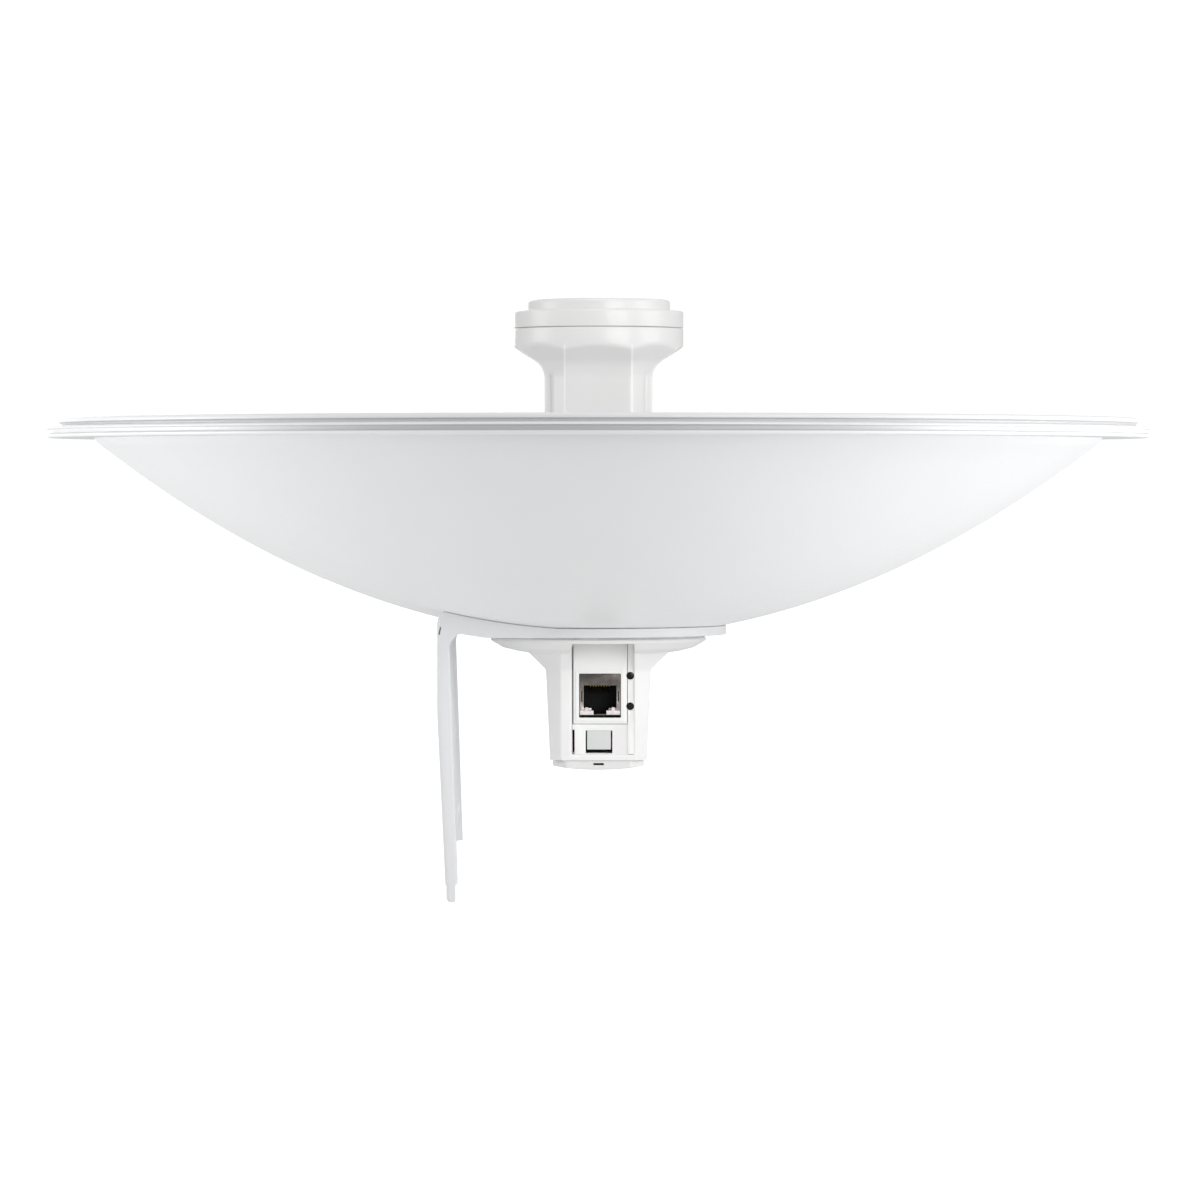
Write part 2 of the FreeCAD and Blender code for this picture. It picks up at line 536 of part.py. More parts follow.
def make_panel_controls():
    """The light pipe, the reset plunger and the release latch of the port panel."""
    pipe = body("light_pipe")
    pad(pipe, "rod", "XZ_Plane", "4.2", "strip_front - 0.05 - 4.2", circle("dot_x", "light_z", "dot_r"))
    button = body("reset_button")
    pad(button, "stem", "XZ_Plane", "7.5", "strip_front - 0.05 - 7.5", circle("dot_x", "reset_z", "dot_r"))
    pad(button, "flange", "XZ_Plane", "tail_half - tail_wall - 1.4", "1.1",
        rect("dot_x - 2.2", "dot_x + 0.8", "reset_z - 2", "reset_z + 2"))
    latch = body("release_latch")
    left, right = "latch_mid - latch_half", "latch_mid + latch_half"
    pad(latch, "tab", "XZ_Plane", "sill_front - 1.6", "1.4",
        rect(left, right, "latch_foot", "latch_hinge - 0.2"))
    knuckle = [circle("-(sill_front - 0.9)", "latch_hinge", "0.45")]
    pad(latch, "knuckle", "YZ_Plane", left, "2 * latch_half", *knuckle)
    pad(latch, "catch", "XZ_Plane", "sill_front - 4.6", "3.2",
        rect("latch_mid - 3.2", "latch_mid + 3.2", "latch_foot + 0.5", "latch_foot + 2.3"))


# ---------------------------------------------------------------- electronics

def make_main_board():
    """The long board that runs from the jack up the neck to the head."""
    part = body("main_board")
    pad(part, "blank", "XZ_Plane", "board_front - board", "board",
        rect("-board_half", "board_half", "board_foot", "board_top"))
    pocket(part, "screw_holes", "XZ_Plane", "board_front + 1", "4", *board_screw_circles("1.2"))
    screws = body("board_screws")
    pad(screws, "shanks", "XZ_Plane", "board_front - board - 3.6", "board + 3.7",
        *board_screw_circles("0.92"))
    pad(screws, "heads", "XZ_Plane", "board_front", "1.3", *board_screw_circles("1.9"))


def front_parts(name, height, *loops):
    """Components that stand on the board's front face."""
    pad(body(name), "blocks", "XZ_Plane", "board_front", height, *loops)


def back_parts(name, height, *loops):
    """Components that stand on the board's back face."""
    pad(body(name), "blocks", "XZ_Plane", f"board_front - board - {height}", height, *loops)


def shield_can(name, start, height, left, right, low, high, grows_back):
    """A pressed can: five thin walls, open towards the board."""
    part = body(name)
    wall = 0.3
    pad(part, "block", "XZ_Plane", start, height, rect(left, right, low, high))
    inner = rect(f"{left} + {wall}", f"{right} - {wall}", f"{low} + {wall}", f"{high} - {wall}")
    opening = f"{start} + {height} + 1" if grows_back else f"{start} + {height} - {wall}"
    depth = f"{height} + 1 - {wall}" if grows_back else f"{height} - {wall} + 1"
    pocket(part, "hollow", "XZ_Plane", opening, depth, inner)


def make_electronics():
    front_parts("processor_chip", "1.2", rect("-7", "7", "14", "28"))
    front_parts("memory_chips", "1.1", rect("-9", "-1", "34", "44"), rect("1", "9", "34", "44"))
    pad(body("thermal_pad"), "blocks", "XZ_Plane", "board_front + 1.2", "1",
        rect("-6.5", "6.5", "14.5", "27.5"))
    shield_can("processor_shield", "board_front", "2.5", "-12", "12", "10", "48", False)
    back_parts("radio_chip", "1", rect("-4", "4", "62", "70"))
    shield_can("rf_shield", "board_front - board - 3.4", "3.4", "-11.5", "11.5", "54", "92", True)
    back_parts("ethernet_transformer", "5.4", rect("-8", "8", "-30", "-18"))
    front_parts("power_inductors", "3", rect("-12.5", "-6.5", "54", "60"), rect("6.5", "12.5", "54", "60"))
    cans = [circle(x, z, "2.5") for x in ("-10", "10") for z in ("67", "75")]
    front_parts("capacitors", "5.8", *cans)
    front_parts("status_led", "1.1", rect("dot_x - 0.8", "dot_x + 0.8", "light_z - 0.5", "light_z + 0.5"))
    switch = body("reset_switch")
    pad(switch, "case", "XZ_Plane", "board_front", "3.4",
        rect("dot_x - 1.6", "dot_x + 1.6", "reset_z - 2.4", "reset_z + 2.4"))
    pad(switch, "plunger", "XZ_Plane", "board_front + 3.4", "0.7", circle("dot_x", "reset_z", "0.8"))


def plug_outline(grow):
    """The opening that a plug goes through: a wide mouth with a narrow notch below for its clip."""
    return [(f"jack_mid - plug_half - {grow}", f"plug_step - {grow}"),
            (f"jack_mid - notch_half - {grow}", f"plug_step - {grow}"),
            (f"jack_mid - notch_half - {grow}", "plug_foot"), (f"jack_mid + notch_half + {grow}", "plug_foot"),
            (f"jack_mid + notch_half + {grow}", f"plug_step - {grow}"),
            (f"jack_mid + plug_half + {grow}", f"plug_step - {grow}"),
            (f"jack_mid + plug_half + {grow}", f"plug_top + {grow}"),
            (f"jack_mid - plug_half - {grow}", f"plug_top + {grow}")]


def make_jack():
    """The data jack: a sheet shell, a moulded insert with the plug cavity, and eight contacts."""
    shell = body("jack_shell")
    pad(shell, "box", "XZ_Plane", "board_front", "jack_front - board_front",
        rect("jack_left", "jack_right", "jack_foot", "jack_top"))
    pocket(shell, "inside", "XZ_Plane", "jack_front - 0.3", "jack_front",
           rect("jack_left + 0.3", "jack_right - 0.3", "jack_foot + 0.3", "jack_top - 0.3"))
    pocket(shell, "mouth", "XZ_Plane", "jack_front + 1", "2", plug_outline("0.15"))
    insert = body("jack_insert")
    pad(insert, "block", "XZ_Plane", "board_front + 0.1", "jack_front - 0.4 - board_front",
        rect("jack_left + 0.35", "jack_right - 0.35", "jack_foot + 0.35", "jack_top - 0.35"))
    pocket(insert, "cavity", "XZ_Plane", "jack_front", "plug_depth", plug_outline("0"))
    contacts = body("jack_contacts")
    pitch = 1.02
    wire = 0.35
    for i in range(8):
        middle = f"jack_mid + {(i - 3.5) * pitch}"
        tip = [("-(jack_front - 3.4)", "plug_top - 0.05"), ("-(jack_front - 3.4)", "plug_top - 0.35"),
               ("-(jack_front - 10.5)", "plug_top - 3.1"), ("-(jack_front - 11)", "plug_top - 2.8"),
               ("-(jack_front - 4)", "plug_top - 0.05")]
        pad(contacts, f"wire{i}", "YZ_Plane", f"{middle} - {wire / 2}", str(wire), tip)


def check_and_export():
    """Stop if any object failed, then write each node's shape to its own file."""
    doc.recompute()
    failed = [o.Name for o in doc.Objects if "Invalid" in o.State or "Error" in o.State]
    failed += [n.Label for n in nodes if n.Shape.isNull() or not n.Shape.isValid()]
    if failed:
        raise RuntimeError(f"failed objects: {failed}")
    os.makedirs("parts", exist_ok=True)
    for node in nodes:
        node.Shape.exportStep(f"parts/{node.Label}.step")
        box = node.Shape.BoundBox
        print(f"{node.Label}: {len(node.Shape.Solids)} solid(s), {node.Shape.Volume:.1f} mm3, "
              f"z {box.ZMin:.1f} to {box.ZMax:.1f}")


make_dish()
make_bracket()
make_dish_fasteners()
make_seals()
make_rear_housing()
make_end_cap()
make_feed_housing()
make_feed_cap()
make_radiator()
make_feed_tail()
make_panel_controls()
make_main_board()
make_electronics()
make_jack()
check_and_export()
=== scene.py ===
"""Looks of the outdoor wireless bridge: its visible pieces, materials, stage, lights and camera.

Shapes are drawn about the dish axis in millimetres, with z = 0 at the virtual lowest point of the
paraboloid and the ports at -Y, and are then moved into the row frame, in metres.
"""
import bmesh
import bpy
import math
from mathutils import Matrix, Vector


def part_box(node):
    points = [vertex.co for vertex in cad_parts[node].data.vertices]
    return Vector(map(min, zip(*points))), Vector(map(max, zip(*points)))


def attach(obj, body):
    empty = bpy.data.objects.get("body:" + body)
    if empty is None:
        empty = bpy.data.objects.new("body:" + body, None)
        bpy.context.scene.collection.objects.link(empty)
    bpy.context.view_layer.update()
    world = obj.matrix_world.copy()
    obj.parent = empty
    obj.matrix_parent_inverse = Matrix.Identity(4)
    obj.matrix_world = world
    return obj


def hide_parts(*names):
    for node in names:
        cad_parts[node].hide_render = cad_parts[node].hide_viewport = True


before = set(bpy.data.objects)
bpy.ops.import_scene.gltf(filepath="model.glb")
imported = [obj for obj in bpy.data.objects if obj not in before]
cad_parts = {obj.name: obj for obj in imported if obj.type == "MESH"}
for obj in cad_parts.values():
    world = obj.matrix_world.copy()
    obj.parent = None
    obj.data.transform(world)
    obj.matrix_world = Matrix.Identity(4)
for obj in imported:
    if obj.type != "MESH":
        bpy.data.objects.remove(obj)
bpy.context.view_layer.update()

MM = 0.001
COLLAR_TOP = 0.3
AXIS_X = (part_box("feed_cap")[0].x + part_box("feed_cap")[1].x) / 2
APEX_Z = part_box("rear_housing")[1].z - COLLAR_TOP * MM
TO_ROW = Matrix.Translation((AXIS_X, 0, APEX_Z)) @ Matrix.Scale(MM, 4)

# Dish: focal length and sheet, flat centre, bowl's edge, and the rim's steps and grooves.
FOCAL = 122.4
SHEET = 1.1
DISH_FLAT = 42.6
DISH_HOLE = 26.6
BOWL_EDGE = 193.0
RIM_FOOT = 76.0
RIM_OUTER = 210.0
RIM_MID = 80.3
RIM_STEP = 205.6
RIM_TOP = 83.5
BEAD_INNER = 199.4
BEAD_FOOT = RIM_TOP - 4.6
LOWER_GROOVE = (77.35, 79.4)
UPPER_GROOVE = (RIM_MID - 0.35, 81.75)

# Painted shade in the rim's two grooves, a grey tint: where each runs and how strong, most at the front,
# in metres along y.
GROOVE_SHADE_BANDS = ((*LOWER_GROOVE, 1.0), (80.45, UPPER_GROOVE[1], 0.8))
GROOVE_SHADE_GREY = (0.2, 0.19, 0.2)
SHADE_FRONT_SPAN = (-0.165, -0.205)
SHADE_AT_SIDES = 0.12
SHADE_AT_FRONT = 0.42

# Bracket: plate, its underside, half width, ends, pivot hole and elevation slot.
PLATE = 2.5
BASE_UNDER = 1.2
SEAT_R = 49.0
ARM_HALF = 46.0
ARM_END = -91.6
FAR_END = -83.0
PIVOT_DROP = 34.0
PIVOT_R = 4.2

# Feed: neck, the bend of its flare, head and cap.
NECK_HALF = 20.5
NECK_FACET = 12.6
# Painted highlight on the neck's corner lines: where the lines run, the heights over which it fades out
# below the head, and its colour.
NECK_EDGE = 12.75
EDGE_HIGHLIGHT_FADE = (112.5, 109.5)
EDGE_HIGHLIGHT_WHITE = (0.96, 0.96, 0.955)
NECK_BORE = 18.5
FLARE_Z = 98.5
FLARE_R = 9.0
FLARE_TURN = 58
SEAM_TOP = 102.0
HEAD_R = 32.5
HEAD_BORE = 30.0
HEAD_FLOOR = 112.5
HEAD_SPLIT = 117.95
SEAM = 0.22

# Rear housing's window (left, right, low, high) and what shows in it.
WINDOW = (-10.1, 13.6, -44.1, -1.3)
JACK_MID = 0.6
DOT_X = 12.05
DOT_R = 1.4
DOT_HOLE = 1.48
DOT_STRIP = -18.85
PIPE_Z = -14.1
BUTTON_Z = -25.7


# ---------------------------------------------------------------- outlines

def bow(r):
    """Height of the paraboloid's back surface."""
    return r * r / (4 * FOCAL)


def soft_loop(corners, steps=5):
    """Points of a closed outline whose corners (x, y, radius) are rounded."""
    points = []
    count = len(corners)
    for i, (x, y, radius) in enumerate(corners):
        here = Vector((x, y))
        if not radius:
            points.append(here)
            continue
        back = (Vector(corners[i - 1][:2]) - here).normalized()
        on = (Vector(corners[(i + 1) % count][:2]) - here).normalized()
        half = math.acos(max(-1, min(1, back.dot(on)))) / 2
        run = radius / math.tan(half)
        middle = here + (back + on).normalized() * (radius / math.sin(half))
        first = here + back * run - middle
        last = here + on * run - middle
        sweep = first.angle_signed(last)
        for k in range(steps + 1):
            turn = -sweep * k / steps
            points.append(middle + Matrix.Rotation(turn, 2) @ first)
    return [tuple(p) for p in points]


def box_loop(left, right, low, high, radius=0.0, steps=4):
    corners = [(left, low), (right, low), (right, high), (left, high)]
    return soft_loop([(x, y, radius) for x, y in corners], steps)


def circle_loop(x, y, radius, count=48):
    turns = [math.tau * i / count for i in range(count)]
    return [(x + radius * math.cos(a), y + radius * math.sin(a)) for a in turns]


def ring_spots(radius, count, start=45):
    turns = [math.radians(start + 360 * i / count) for i in range(count)]
    return [(radius * math.cos(a), radius * math.sin(a)) for a in turns]


# ---------------------------------------------------------------- meshes

def lathe(profile, count=192):
    """A closed (radius, height) loop turned about the axis."""
    bm = bmesh.new()
    poles = {i: bm.verts.new((0, 0, z)) for i, (r, z) in enumerate(profile) if r < 1e-6}
    rings = []
    for k in range(count):
        turn = math.tau * k / count
        rings.append([poles.get(i) or bm.verts.new((r * math.cos(turn), r * math.sin(turn), z))
                      for i, (r, z) in enumerate(profile)])
    size = len(profile)
    for k in range(count):
        here, there = rings[k], rings[(k + 1) % count]
        for i in range(size):
            j = (i + 1) % size
            corners = list(dict.fromkeys((here[i], here[j], there[j], there[i])))
            if len(corners) > 2:
                bm.faces.new(corners)
    return bm


AXES = {
    "x": lambda u, v, w: (w, u, v),
    "y": lambda u, v, w: (u, w, v),
    "z": lambda u, v, w: (u, v, w),
}


def prism(loop, axis, low, high):
    """A closed loop carried along an axis: (x, z) along y, (y, z) along x, (x, y) along z."""
    bm = bmesh.new()
    spot = AXES[axis]
    ends = [[bm.verts.new(spot(u, v, w)) for u, v in loop] for w in (low, high)]
    bm.faces.new(ends[0])
    bm.faces.new(list(reversed(ends[1])))
    count = len(loop)
    for i in range(count):
        j = (i + 1) % count
        bm.faces.new((ends[0][j], ends[0][i], ends[1][i], ends[1][j]))
    return bm


def stack(levels, cap=True):
    """Rings of equal length joined into a skin, closed at both ends or, with cap off, into a tube."""
    bm = bmesh.new()
    rings = [[bm.verts.new(p) for p in level] for level in levels]
    count = len(rings[0])
    pairs = list(zip(rings, rings[1:]))
    if not cap:
        pairs.append((rings[-1], rings[0]))
    for low, high in pairs:
        for i in range(count):
            j = (i + 1) % count
            bm.faces.new((low[i], low[j], high[j], high[i]))
    if cap:
        bm.faces.new(list(reversed(rings[0])))
        bm.faces.new(rings[-1])
    return bm


def rough(name, bm):
    """A working object, in millimetres, before it is finished as a piece."""
    bmesh.ops.recalc_face_normals(bm, faces=bm.faces)
    if bm.calc_volume(signed=True) < 0:
        bmesh.ops.reverse_faces(bm, faces=bm.faces)
    mesh = bpy.data.meshes.new(name)
    bm.to_mesh(mesh)
    bm.free()
    obj = bpy.data.objects.new(name, mesh)
    bpy.context.scene.collection.objects.link(obj)
    return obj


def bake_modifiers(obj):
    graph = bpy.context.evaluated_depsgraph_get()
    mesh = bpy.data.meshes.new_from_object(obj.evaluated_get(graph))
    obj.modifiers.clear()
    old = obj.data
    obj.data = mesh
    bpy.data.meshes.remove(old)


def combine(base, operation, *tools):
    """Join tools to a working object or cut them from it, one after another, and remove them."""
    for bm in tools:
        tool = rough("tool", bm)
        step = base.modifiers.new("step", "BOOLEAN")
        step.operation = operation
        step.solver = "EXACT"
        step.object = tool
        bake_modifiers(base)
        bpy.data.objects.remove(tool)
    return base


def soften(obj, width, segments=2, angle=30):
    """Round the edges that are sharper than an angle."""
    bevel = obj.modifiers.new("edges", "BEVEL")
    bevel.width = width
    bevel.segments = segments
    bevel.limit_method = "ANGLE"
    bevel.angle_limit = math.radians(angle)
    bevel.harden_normals = False
    bevel.use_clamp_overlap = True
    bake_modifiers(obj)
    return obj


def weld(obj, distance=1e-3):
    bm = bmesh.new()
    bm.from_mesh(obj.data)
    bmesh.ops.remove_doubles(bm, verts=bm.verts, dist=distance)
    bmesh.ops.dissolve_degenerate(bm, edges=bm.edges, dist=distance)
    bm.to_mesh(obj.data)
    bm.free()
    return obj


def piece(obj, body, material, nodes=(), angle=32):
    """Finish a working object: smooth faces, sharp creases, row frame, body, slot and material."""
    bm = bmesh.new()
    bm.from_mesh(obj.data)
    for face in bm.faces:
        face.smooth = True
        face.material_index = 0
    limit = math.radians(angle)
    for edge in bm.edges:
        edge.smooth = len(edge.link_faces) == 2 and edge.calc_face_angle(0) < limit
    bm.to_mesh(obj.data)
    bm.free()
    obj.data.materials.clear()
    obj.data.materials.append(material)
    obj.data.transform(TO_ROW)
    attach(obj, body)
    if nodes:
        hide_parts(*nodes)
    return obj


# ---------------------------------------------------------------- materials

def new_material(name):
    material = bpy.data.materials.new(name)
    material.use_nodes = True
    nodes = material.node_tree.nodes
    links = material.node_tree.links
    shader = nodes["Principled BSDF"]
    place = nodes.new("ShaderNodeTexCoord")
    return material, nodes, links, shader, place


def noise(nodes, links, place, scale, detail=3.0, roughness=0.5):
    texture = nodes.new("ShaderNodeTexNoise")
    texture.inputs["Scale"].default_value = scale
    texture.inputs["Detail"].default_value = detail
    texture.inputs["Roughness"].default_value = roughness
    links.new(place.outputs["Object"], texture.inputs["Vector"])
    return texture


def ramp(nodes, links, source, low, high, start=0.3, stop=0.7):
    """A colour or grey that runs from low to high as the source runs from start to stop."""
    blend = nodes.new("ShaderNodeValToRGB")
    blend.color_ramp.elements[0].position = start
    blend.color_ramp.elements[1].position = stop
    blend.color_ramp.elements[0].color = (*low, 1)
    blend.color_ramp.elements[1].color = (*high, 1)
    links.new(source, blend.inputs["Fac"])
    return blend


def math_node(nodes, links, operation, *values):
    """A Math node's result; each value is a socket or a number."""
    node = nodes.new("ShaderNodeMath")
    node.operation = operation
    for spot, value in zip(node.inputs, values):
        if isinstance(value, (int, float)):
            spot.default_value = value
        else:
            links.new(value, spot)
    return node.outputs["Value"]


def share_along(nodes, links, source, start, stop, low=0.0, high=1.0):
    """A smooth step from low to high as the source runs from start to stop."""
    share = nodes.new("ShaderNodeMapRange")
    share.interpolation_type = "SMOOTHSTEP"
    for name, value in (("From Min", start), ("From Max", stop), ("To Min", low), ("To Max", high)):
        share.inputs[name].default_value = value
    links.new(source, share.inputs["Value"])
    return share.outputs["Result"]


def mix_paint(nodes, links, shader, amount, colour):
    """Mix the base colour towards another by an amount."""
    paint = shader.inputs["Base Color"].links[0].from_socket
    blend = nodes.new("ShaderNodeMix")
    blend.data_type = "RGBA"
    links.new(amount, blend.inputs["Factor"])
    links.new(paint, blend.inputs["A"])
    blend.inputs["B"].default_value = (*colour, 1)
    links.new(blend.outputs["Result"], shader.inputs["Base Color"])


def vary_roughness(nodes, links, shader, texture, low, high):
    """Let the roughness run from low to high with a noise texture."""
    levels = ramp(nodes, links, texture.outputs["Fac"], (low,) * 3, (high,) * 3)
    links.new(levels.outputs["Color"], shader.inputs["Roughness"])


def grain_bump(nodes, links, shader, layers):
    """Chain bump layers (height output, distance in metres, strength) into the shader's normal."""
    normal = None
    for height, distance, strength in layers:
        bump = nodes.new("ShaderNodeBump")
        bump.inputs["Distance"].default_value = distance
        bump.inputs["Strength"].default_value = strength
        links.new(height, bump.inputs["Height"])
        if normal:
            links.new(normal, bump.inputs["Normal"])
        normal = bump.outputs["Normal"]
    links.new(normal, shader.inputs["Normal"])


def coated_metal(name, colour, roughness=0.36):
    """Powder coat: faint orange peel, slight mottling and a soft sheen."""
    material, nodes, links, shader, place = new_material(name)
    cloud = noise(nodes, links, place, 9, 4, 0.55)
    dark = tuple(c * 0.965 for c in colour)
    tint = ramp(nodes, links, cloud.outputs["Fac"], dark, colour, 0.25, 0.6)
    links.new(tint.outputs["Color"], shader.inputs["Base Color"])
    peel = noise(nodes, links, place, 620, 2, 0.4)
    swell = noise(nodes, links, place, 60, 2, 0.4)
    vary_roughness(nodes, links, shader, peel, roughness - 0.05, roughness + 0.07)
    layers = [(peel.outputs["Fac"], 0.00012, 0.22), (swell.outputs["Fac"], 0.0004, 0.05)]
    grain_bump(nodes, links, shader, layers)
    shader.inputs["Specular IOR Level"].default_value = 0.45
    return material


def groove_shade_bands(nodes, links, height):
    """Painted shade at a height: some in each of the rim's two grooves, none elsewhere."""
    band = nodes.new("ShaderNodeValToRGB")
    band.color_ramp.elements.remove(band.color_ramp.elements[1])
    band.color_ramp.elements[0].color = (0, 0, 0, 1)
    for low, high, grey in GROOVE_SHADE_BANDS:
        for z, level in ((low - 0.15, 0), (low + 0.2, grey), (high - 0.2, grey), (high + 0.15, 0)):
            element = band.color_ramp.elements.new((z - RIM_FOOT) / (RIM_TOP - RIM_FOOT))
            element.color = (level, level, level, 1)
    place = nodes.new("ShaderNodeMapRange")
    place.inputs["From Min"].default_value = APEX_Z + RIM_FOOT * MM
    place.inputs["From Max"].default_value = APEX_Z + RIM_TOP * MM
    links.new(height, place.inputs["Value"])
    links.new(place.outputs["Result"], band.inputs["Fac"])
    return band.outputs["Color"]


def paint_groove_shade(material):
    """Paint shade into the rim's two grooves as a grey tint, most of all along its front."""
    nodes, links = material.node_tree.nodes, material.node_tree.links
    place = nodes.new("ShaderNodeTexCoord")
    split = nodes.new("ShaderNodeSeparateXYZ")
    links.new(place.outputs["Object"], split.inputs["Vector"])
    bands = groove_shade_bands(nodes, links, split.outputs["Z"])
    front = share_along(nodes, links, split.outputs["Y"], *SHADE_FRONT_SPAN, SHADE_AT_SIDES, SHADE_AT_FRONT)
    amount = math_node(nodes, links, "MULTIPLY", bands, front)
    mix_paint(nodes, links, nodes["Principled BSDF"], amount, GROOVE_SHADE_GREY)


def moulded(name, colour, roughness=0.45, grain=1500, depth=0.3, gloss=0.5, coat=0.0):
    """Moulded plastic: fine spark-eroded grain, slight mottling and faint flow marks."""
    material, nodes, links, shader, place = new_material(name)
    cloud = noise(nodes, links, place, 14, 3, 0.5)
    dark = tuple(c * 0.97 for c in colour)
    tint = ramp(nodes, links, cloud.outputs["Fac"], dark, colour, 0.3, 0.65)
    links.new(tint.outputs["Color"], shader.inputs["Base Color"])
    fine = noise(nodes, links, place, grain, 3, 0.6)
    flow = noise(nodes, links, place, 85, 2, 0.5)
    vary_roughness(nodes, links, shader, fine, roughness - 0.06, roughness + 0.08)
    layers = [(fine.outputs["Fac"], 0.00006, depth), (flow.outputs["Fac"], 0.0003, 0.04)]
    grain_bump(nodes, links, shader, layers)
    shader.inputs["Specular IOR Level"].default_value = gloss
    shader.inputs["Coat Weight"].default_value = coat
    shader.inputs["Coat Roughness"].default_value = 0.16
    return material


def edge_highlight_share(nodes, links, side, width=0.55 * MM):
    """Share of painted highlight by nearness to the neck's corner lines: 1 on a line, 0 a width off it.
    """
    size = math_node(nodes, links, "ABSOLUTE", side)
    off = math_node(nodes, links, "SUBTRACT", size, NECK_EDGE * MM)
    gap = math_node(nodes, links, "ABSOLUTE", off)
    return share_along(nodes, links, gap, width, width * 0.35)


def paint_edge_highlights(material):
    """Paint a highlight on the neck's eight corner lines as a paler colour, up to the head."""
    nodes, links = material.node_tree.nodes, material.node_tree.links
    place = nodes.new("ShaderNodeTexCoord")
    centred = nodes.new("ShaderNodeVectorMath")
    centred.operation = "SUBTRACT"
    centred.inputs[1].default_value = (AXIS_X, 0, APEX_Z)
    links.new(place.outputs["Object"], centred.inputs[0])
    split = nodes.new("ShaderNodeSeparateXYZ")
    links.new(centred.outputs["Vector"], split.inputs["Vector"])
    lines = [edge_highlight_share(nodes, links, split.outputs[name]) for name in "XY"]
    either = math_node(nodes, links, "MAXIMUM", *lines)
    below = share_along(nodes, links, split.outputs["Z"], *(z * MM for z in EDGE_HIGHLIGHT_FADE))
    amount = math_node(nodes, links, "MULTIPLY", either, below)
    mix_paint(nodes, links, nodes["Principled BSDF"], amount, EDGE_HIGHLIGHT_WHITE)


def paint_height_shade(nodes, links, shader, place, tint, shade_fade):
    """Painted shade: darken a metal from a low to a high height, with how much colour is left at each."""
    split = nodes.new("ShaderNodeSeparateXYZ")
    links.new(place.outputs["Object"], split.inputs["Vector"])
    share = nodes.new("ShaderNodeMapRange")
    for name, value in zip(("From Min", "From Max", "To Min", "To Max"), shade_fade):
        share.inputs[name].default_value = value
    links.new(split.outputs["Z"], share.inputs["Value"])
    scaled = nodes.new("ShaderNodeVectorMath")
    scaled.operation = "SCALE"
    links.new(tint.outputs["Color"], scaled.inputs[0])
    links.new(share.outputs["Result"], scaled.inputs["Scale"])
    links.new(scaled.outputs["Vector"], shader.inputs["Base Color"])


def bare_metal(name, colour, roughness=0.3, stretch=(1, 1, 40), grain=180, metallic=1.0, shade_fade=None):
    """Bare or plated metal with fine drawn lines, small stains and, if given, painted shade by height."""
    material, nodes, links, shader, place = new_material(name)
    shader.inputs["Metallic"].default_value = metallic
    mapping = nodes.new("ShaderNodeMapping")
    mapping.inputs["Scale"].default_value = stretch
    links.new(place.outputs["Object"], mapping.inputs["Vector"])
    lines = nodes.new("ShaderNodeTexNoise")
    lines.inputs["Scale"].default_value = grain
    lines.inputs["Detail"].default_value = 4
    links.new(mapping.outputs["Vector"], lines.inputs["Vector"])
    stain = noise(nodes, links, place, 260, 4, 0.6)
    dark = tuple(c * 0.72 for c in colour)
    tint = ramp(nodes, links, stain.outputs["Fac"], dark, colour, 0.35, 0.6)
    links.new(tint.outputs["Color"], shader.inputs["Base Color"])
    if shade_fade:
        paint_height_shade(nodes, links, shader, place, tint, shade_fade)
    vary_roughness(nodes, links, shader, lines, roughness - 0.1, roughness + 0.14)
    grain_bump(nodes, links, shader, [(lines.outputs["Fac"], 0.00005, 0.35)])
    return material


def soft_rubber(name, colour, roughness=0.72):
    """Rubber: matt, with a dusty bloom and coarse pores."""
    material, nodes, links, shader, place = new_material(name)
    bloom = noise(nodes, links, place, 120, 4, 0.6)
    pale = tuple(min(1, c * 1.35 + 0.015) for c in colour)
    tint = ramp(nodes, links, bloom.outputs["Fac"], colour, pale, 0.4, 0.75)
    links.new(tint.outputs["Color"], shader.inputs["Base Color"])
    pores = noise(nodes, links, place, 900, 3, 0.6)
    vary_roughness(nodes, links, shader, pores, roughness - 0.08, roughness + 0.1)
    grain_bump(nodes, links, shader, [(pores.outputs["Fac"], 0.00008, 0.4)])
    shader.inputs["Specular IOR Level"].default_value = 0.3
    return material


def circuit(name, colour):
    """Solder mask over glass weave, with paler copper areas showing through."""
    material, nodes, links, shader, place = new_material(name)
    cells = nodes.new("ShaderNodeTexVoronoi")
    cells.feature = "DISTANCE_TO_EDGE"
    cells.inputs["Scale"].default_value = 210
    links.new(place.outputs["Object"], cells.inputs["Vector"])
    pale = tuple(min(1, c * 1.7 + 0.01) for c in colour)
    tint = ramp(nodes, links, cells.outputs["Distance"], pale, colour, 0.04, 0.09)
    links.new(tint.outputs["Color"], shader.inputs["Base Color"])
    weave = noise(nodes, links, place, 1400, 2, 0.4)
    vary_roughness(nodes, links, shader, weave, 0.2, 0.34)
    layers = [(tint.outputs["Color"], 0.00005, 0.4), (weave.outputs["Fac"], 0.00003, 0.3)]
    grain_bump(nodes, links, shader, layers)
    return material


WHITE_PAINT = coated_metal("white powder coat", (0.735, 0.74, 0.747))
# Painted shade: the dish's coat turns grey in the rim's grooves, most along the front.
paint_groove_shade(WHITE_PAINT)
ARM_PAINT = coated_metal("white arm coat", (0.85, 0.855, 0.865), 0.4)
HOUSING_WHITE = moulded("housing white", (0.89, 0.892, 0.885), 0.42, 1500, 0.25)
FEED_WHITE = moulded("feed white", (0.83, 0.83, 0.822), 0.36, 1500, 0.15, 0.5, 0.4)
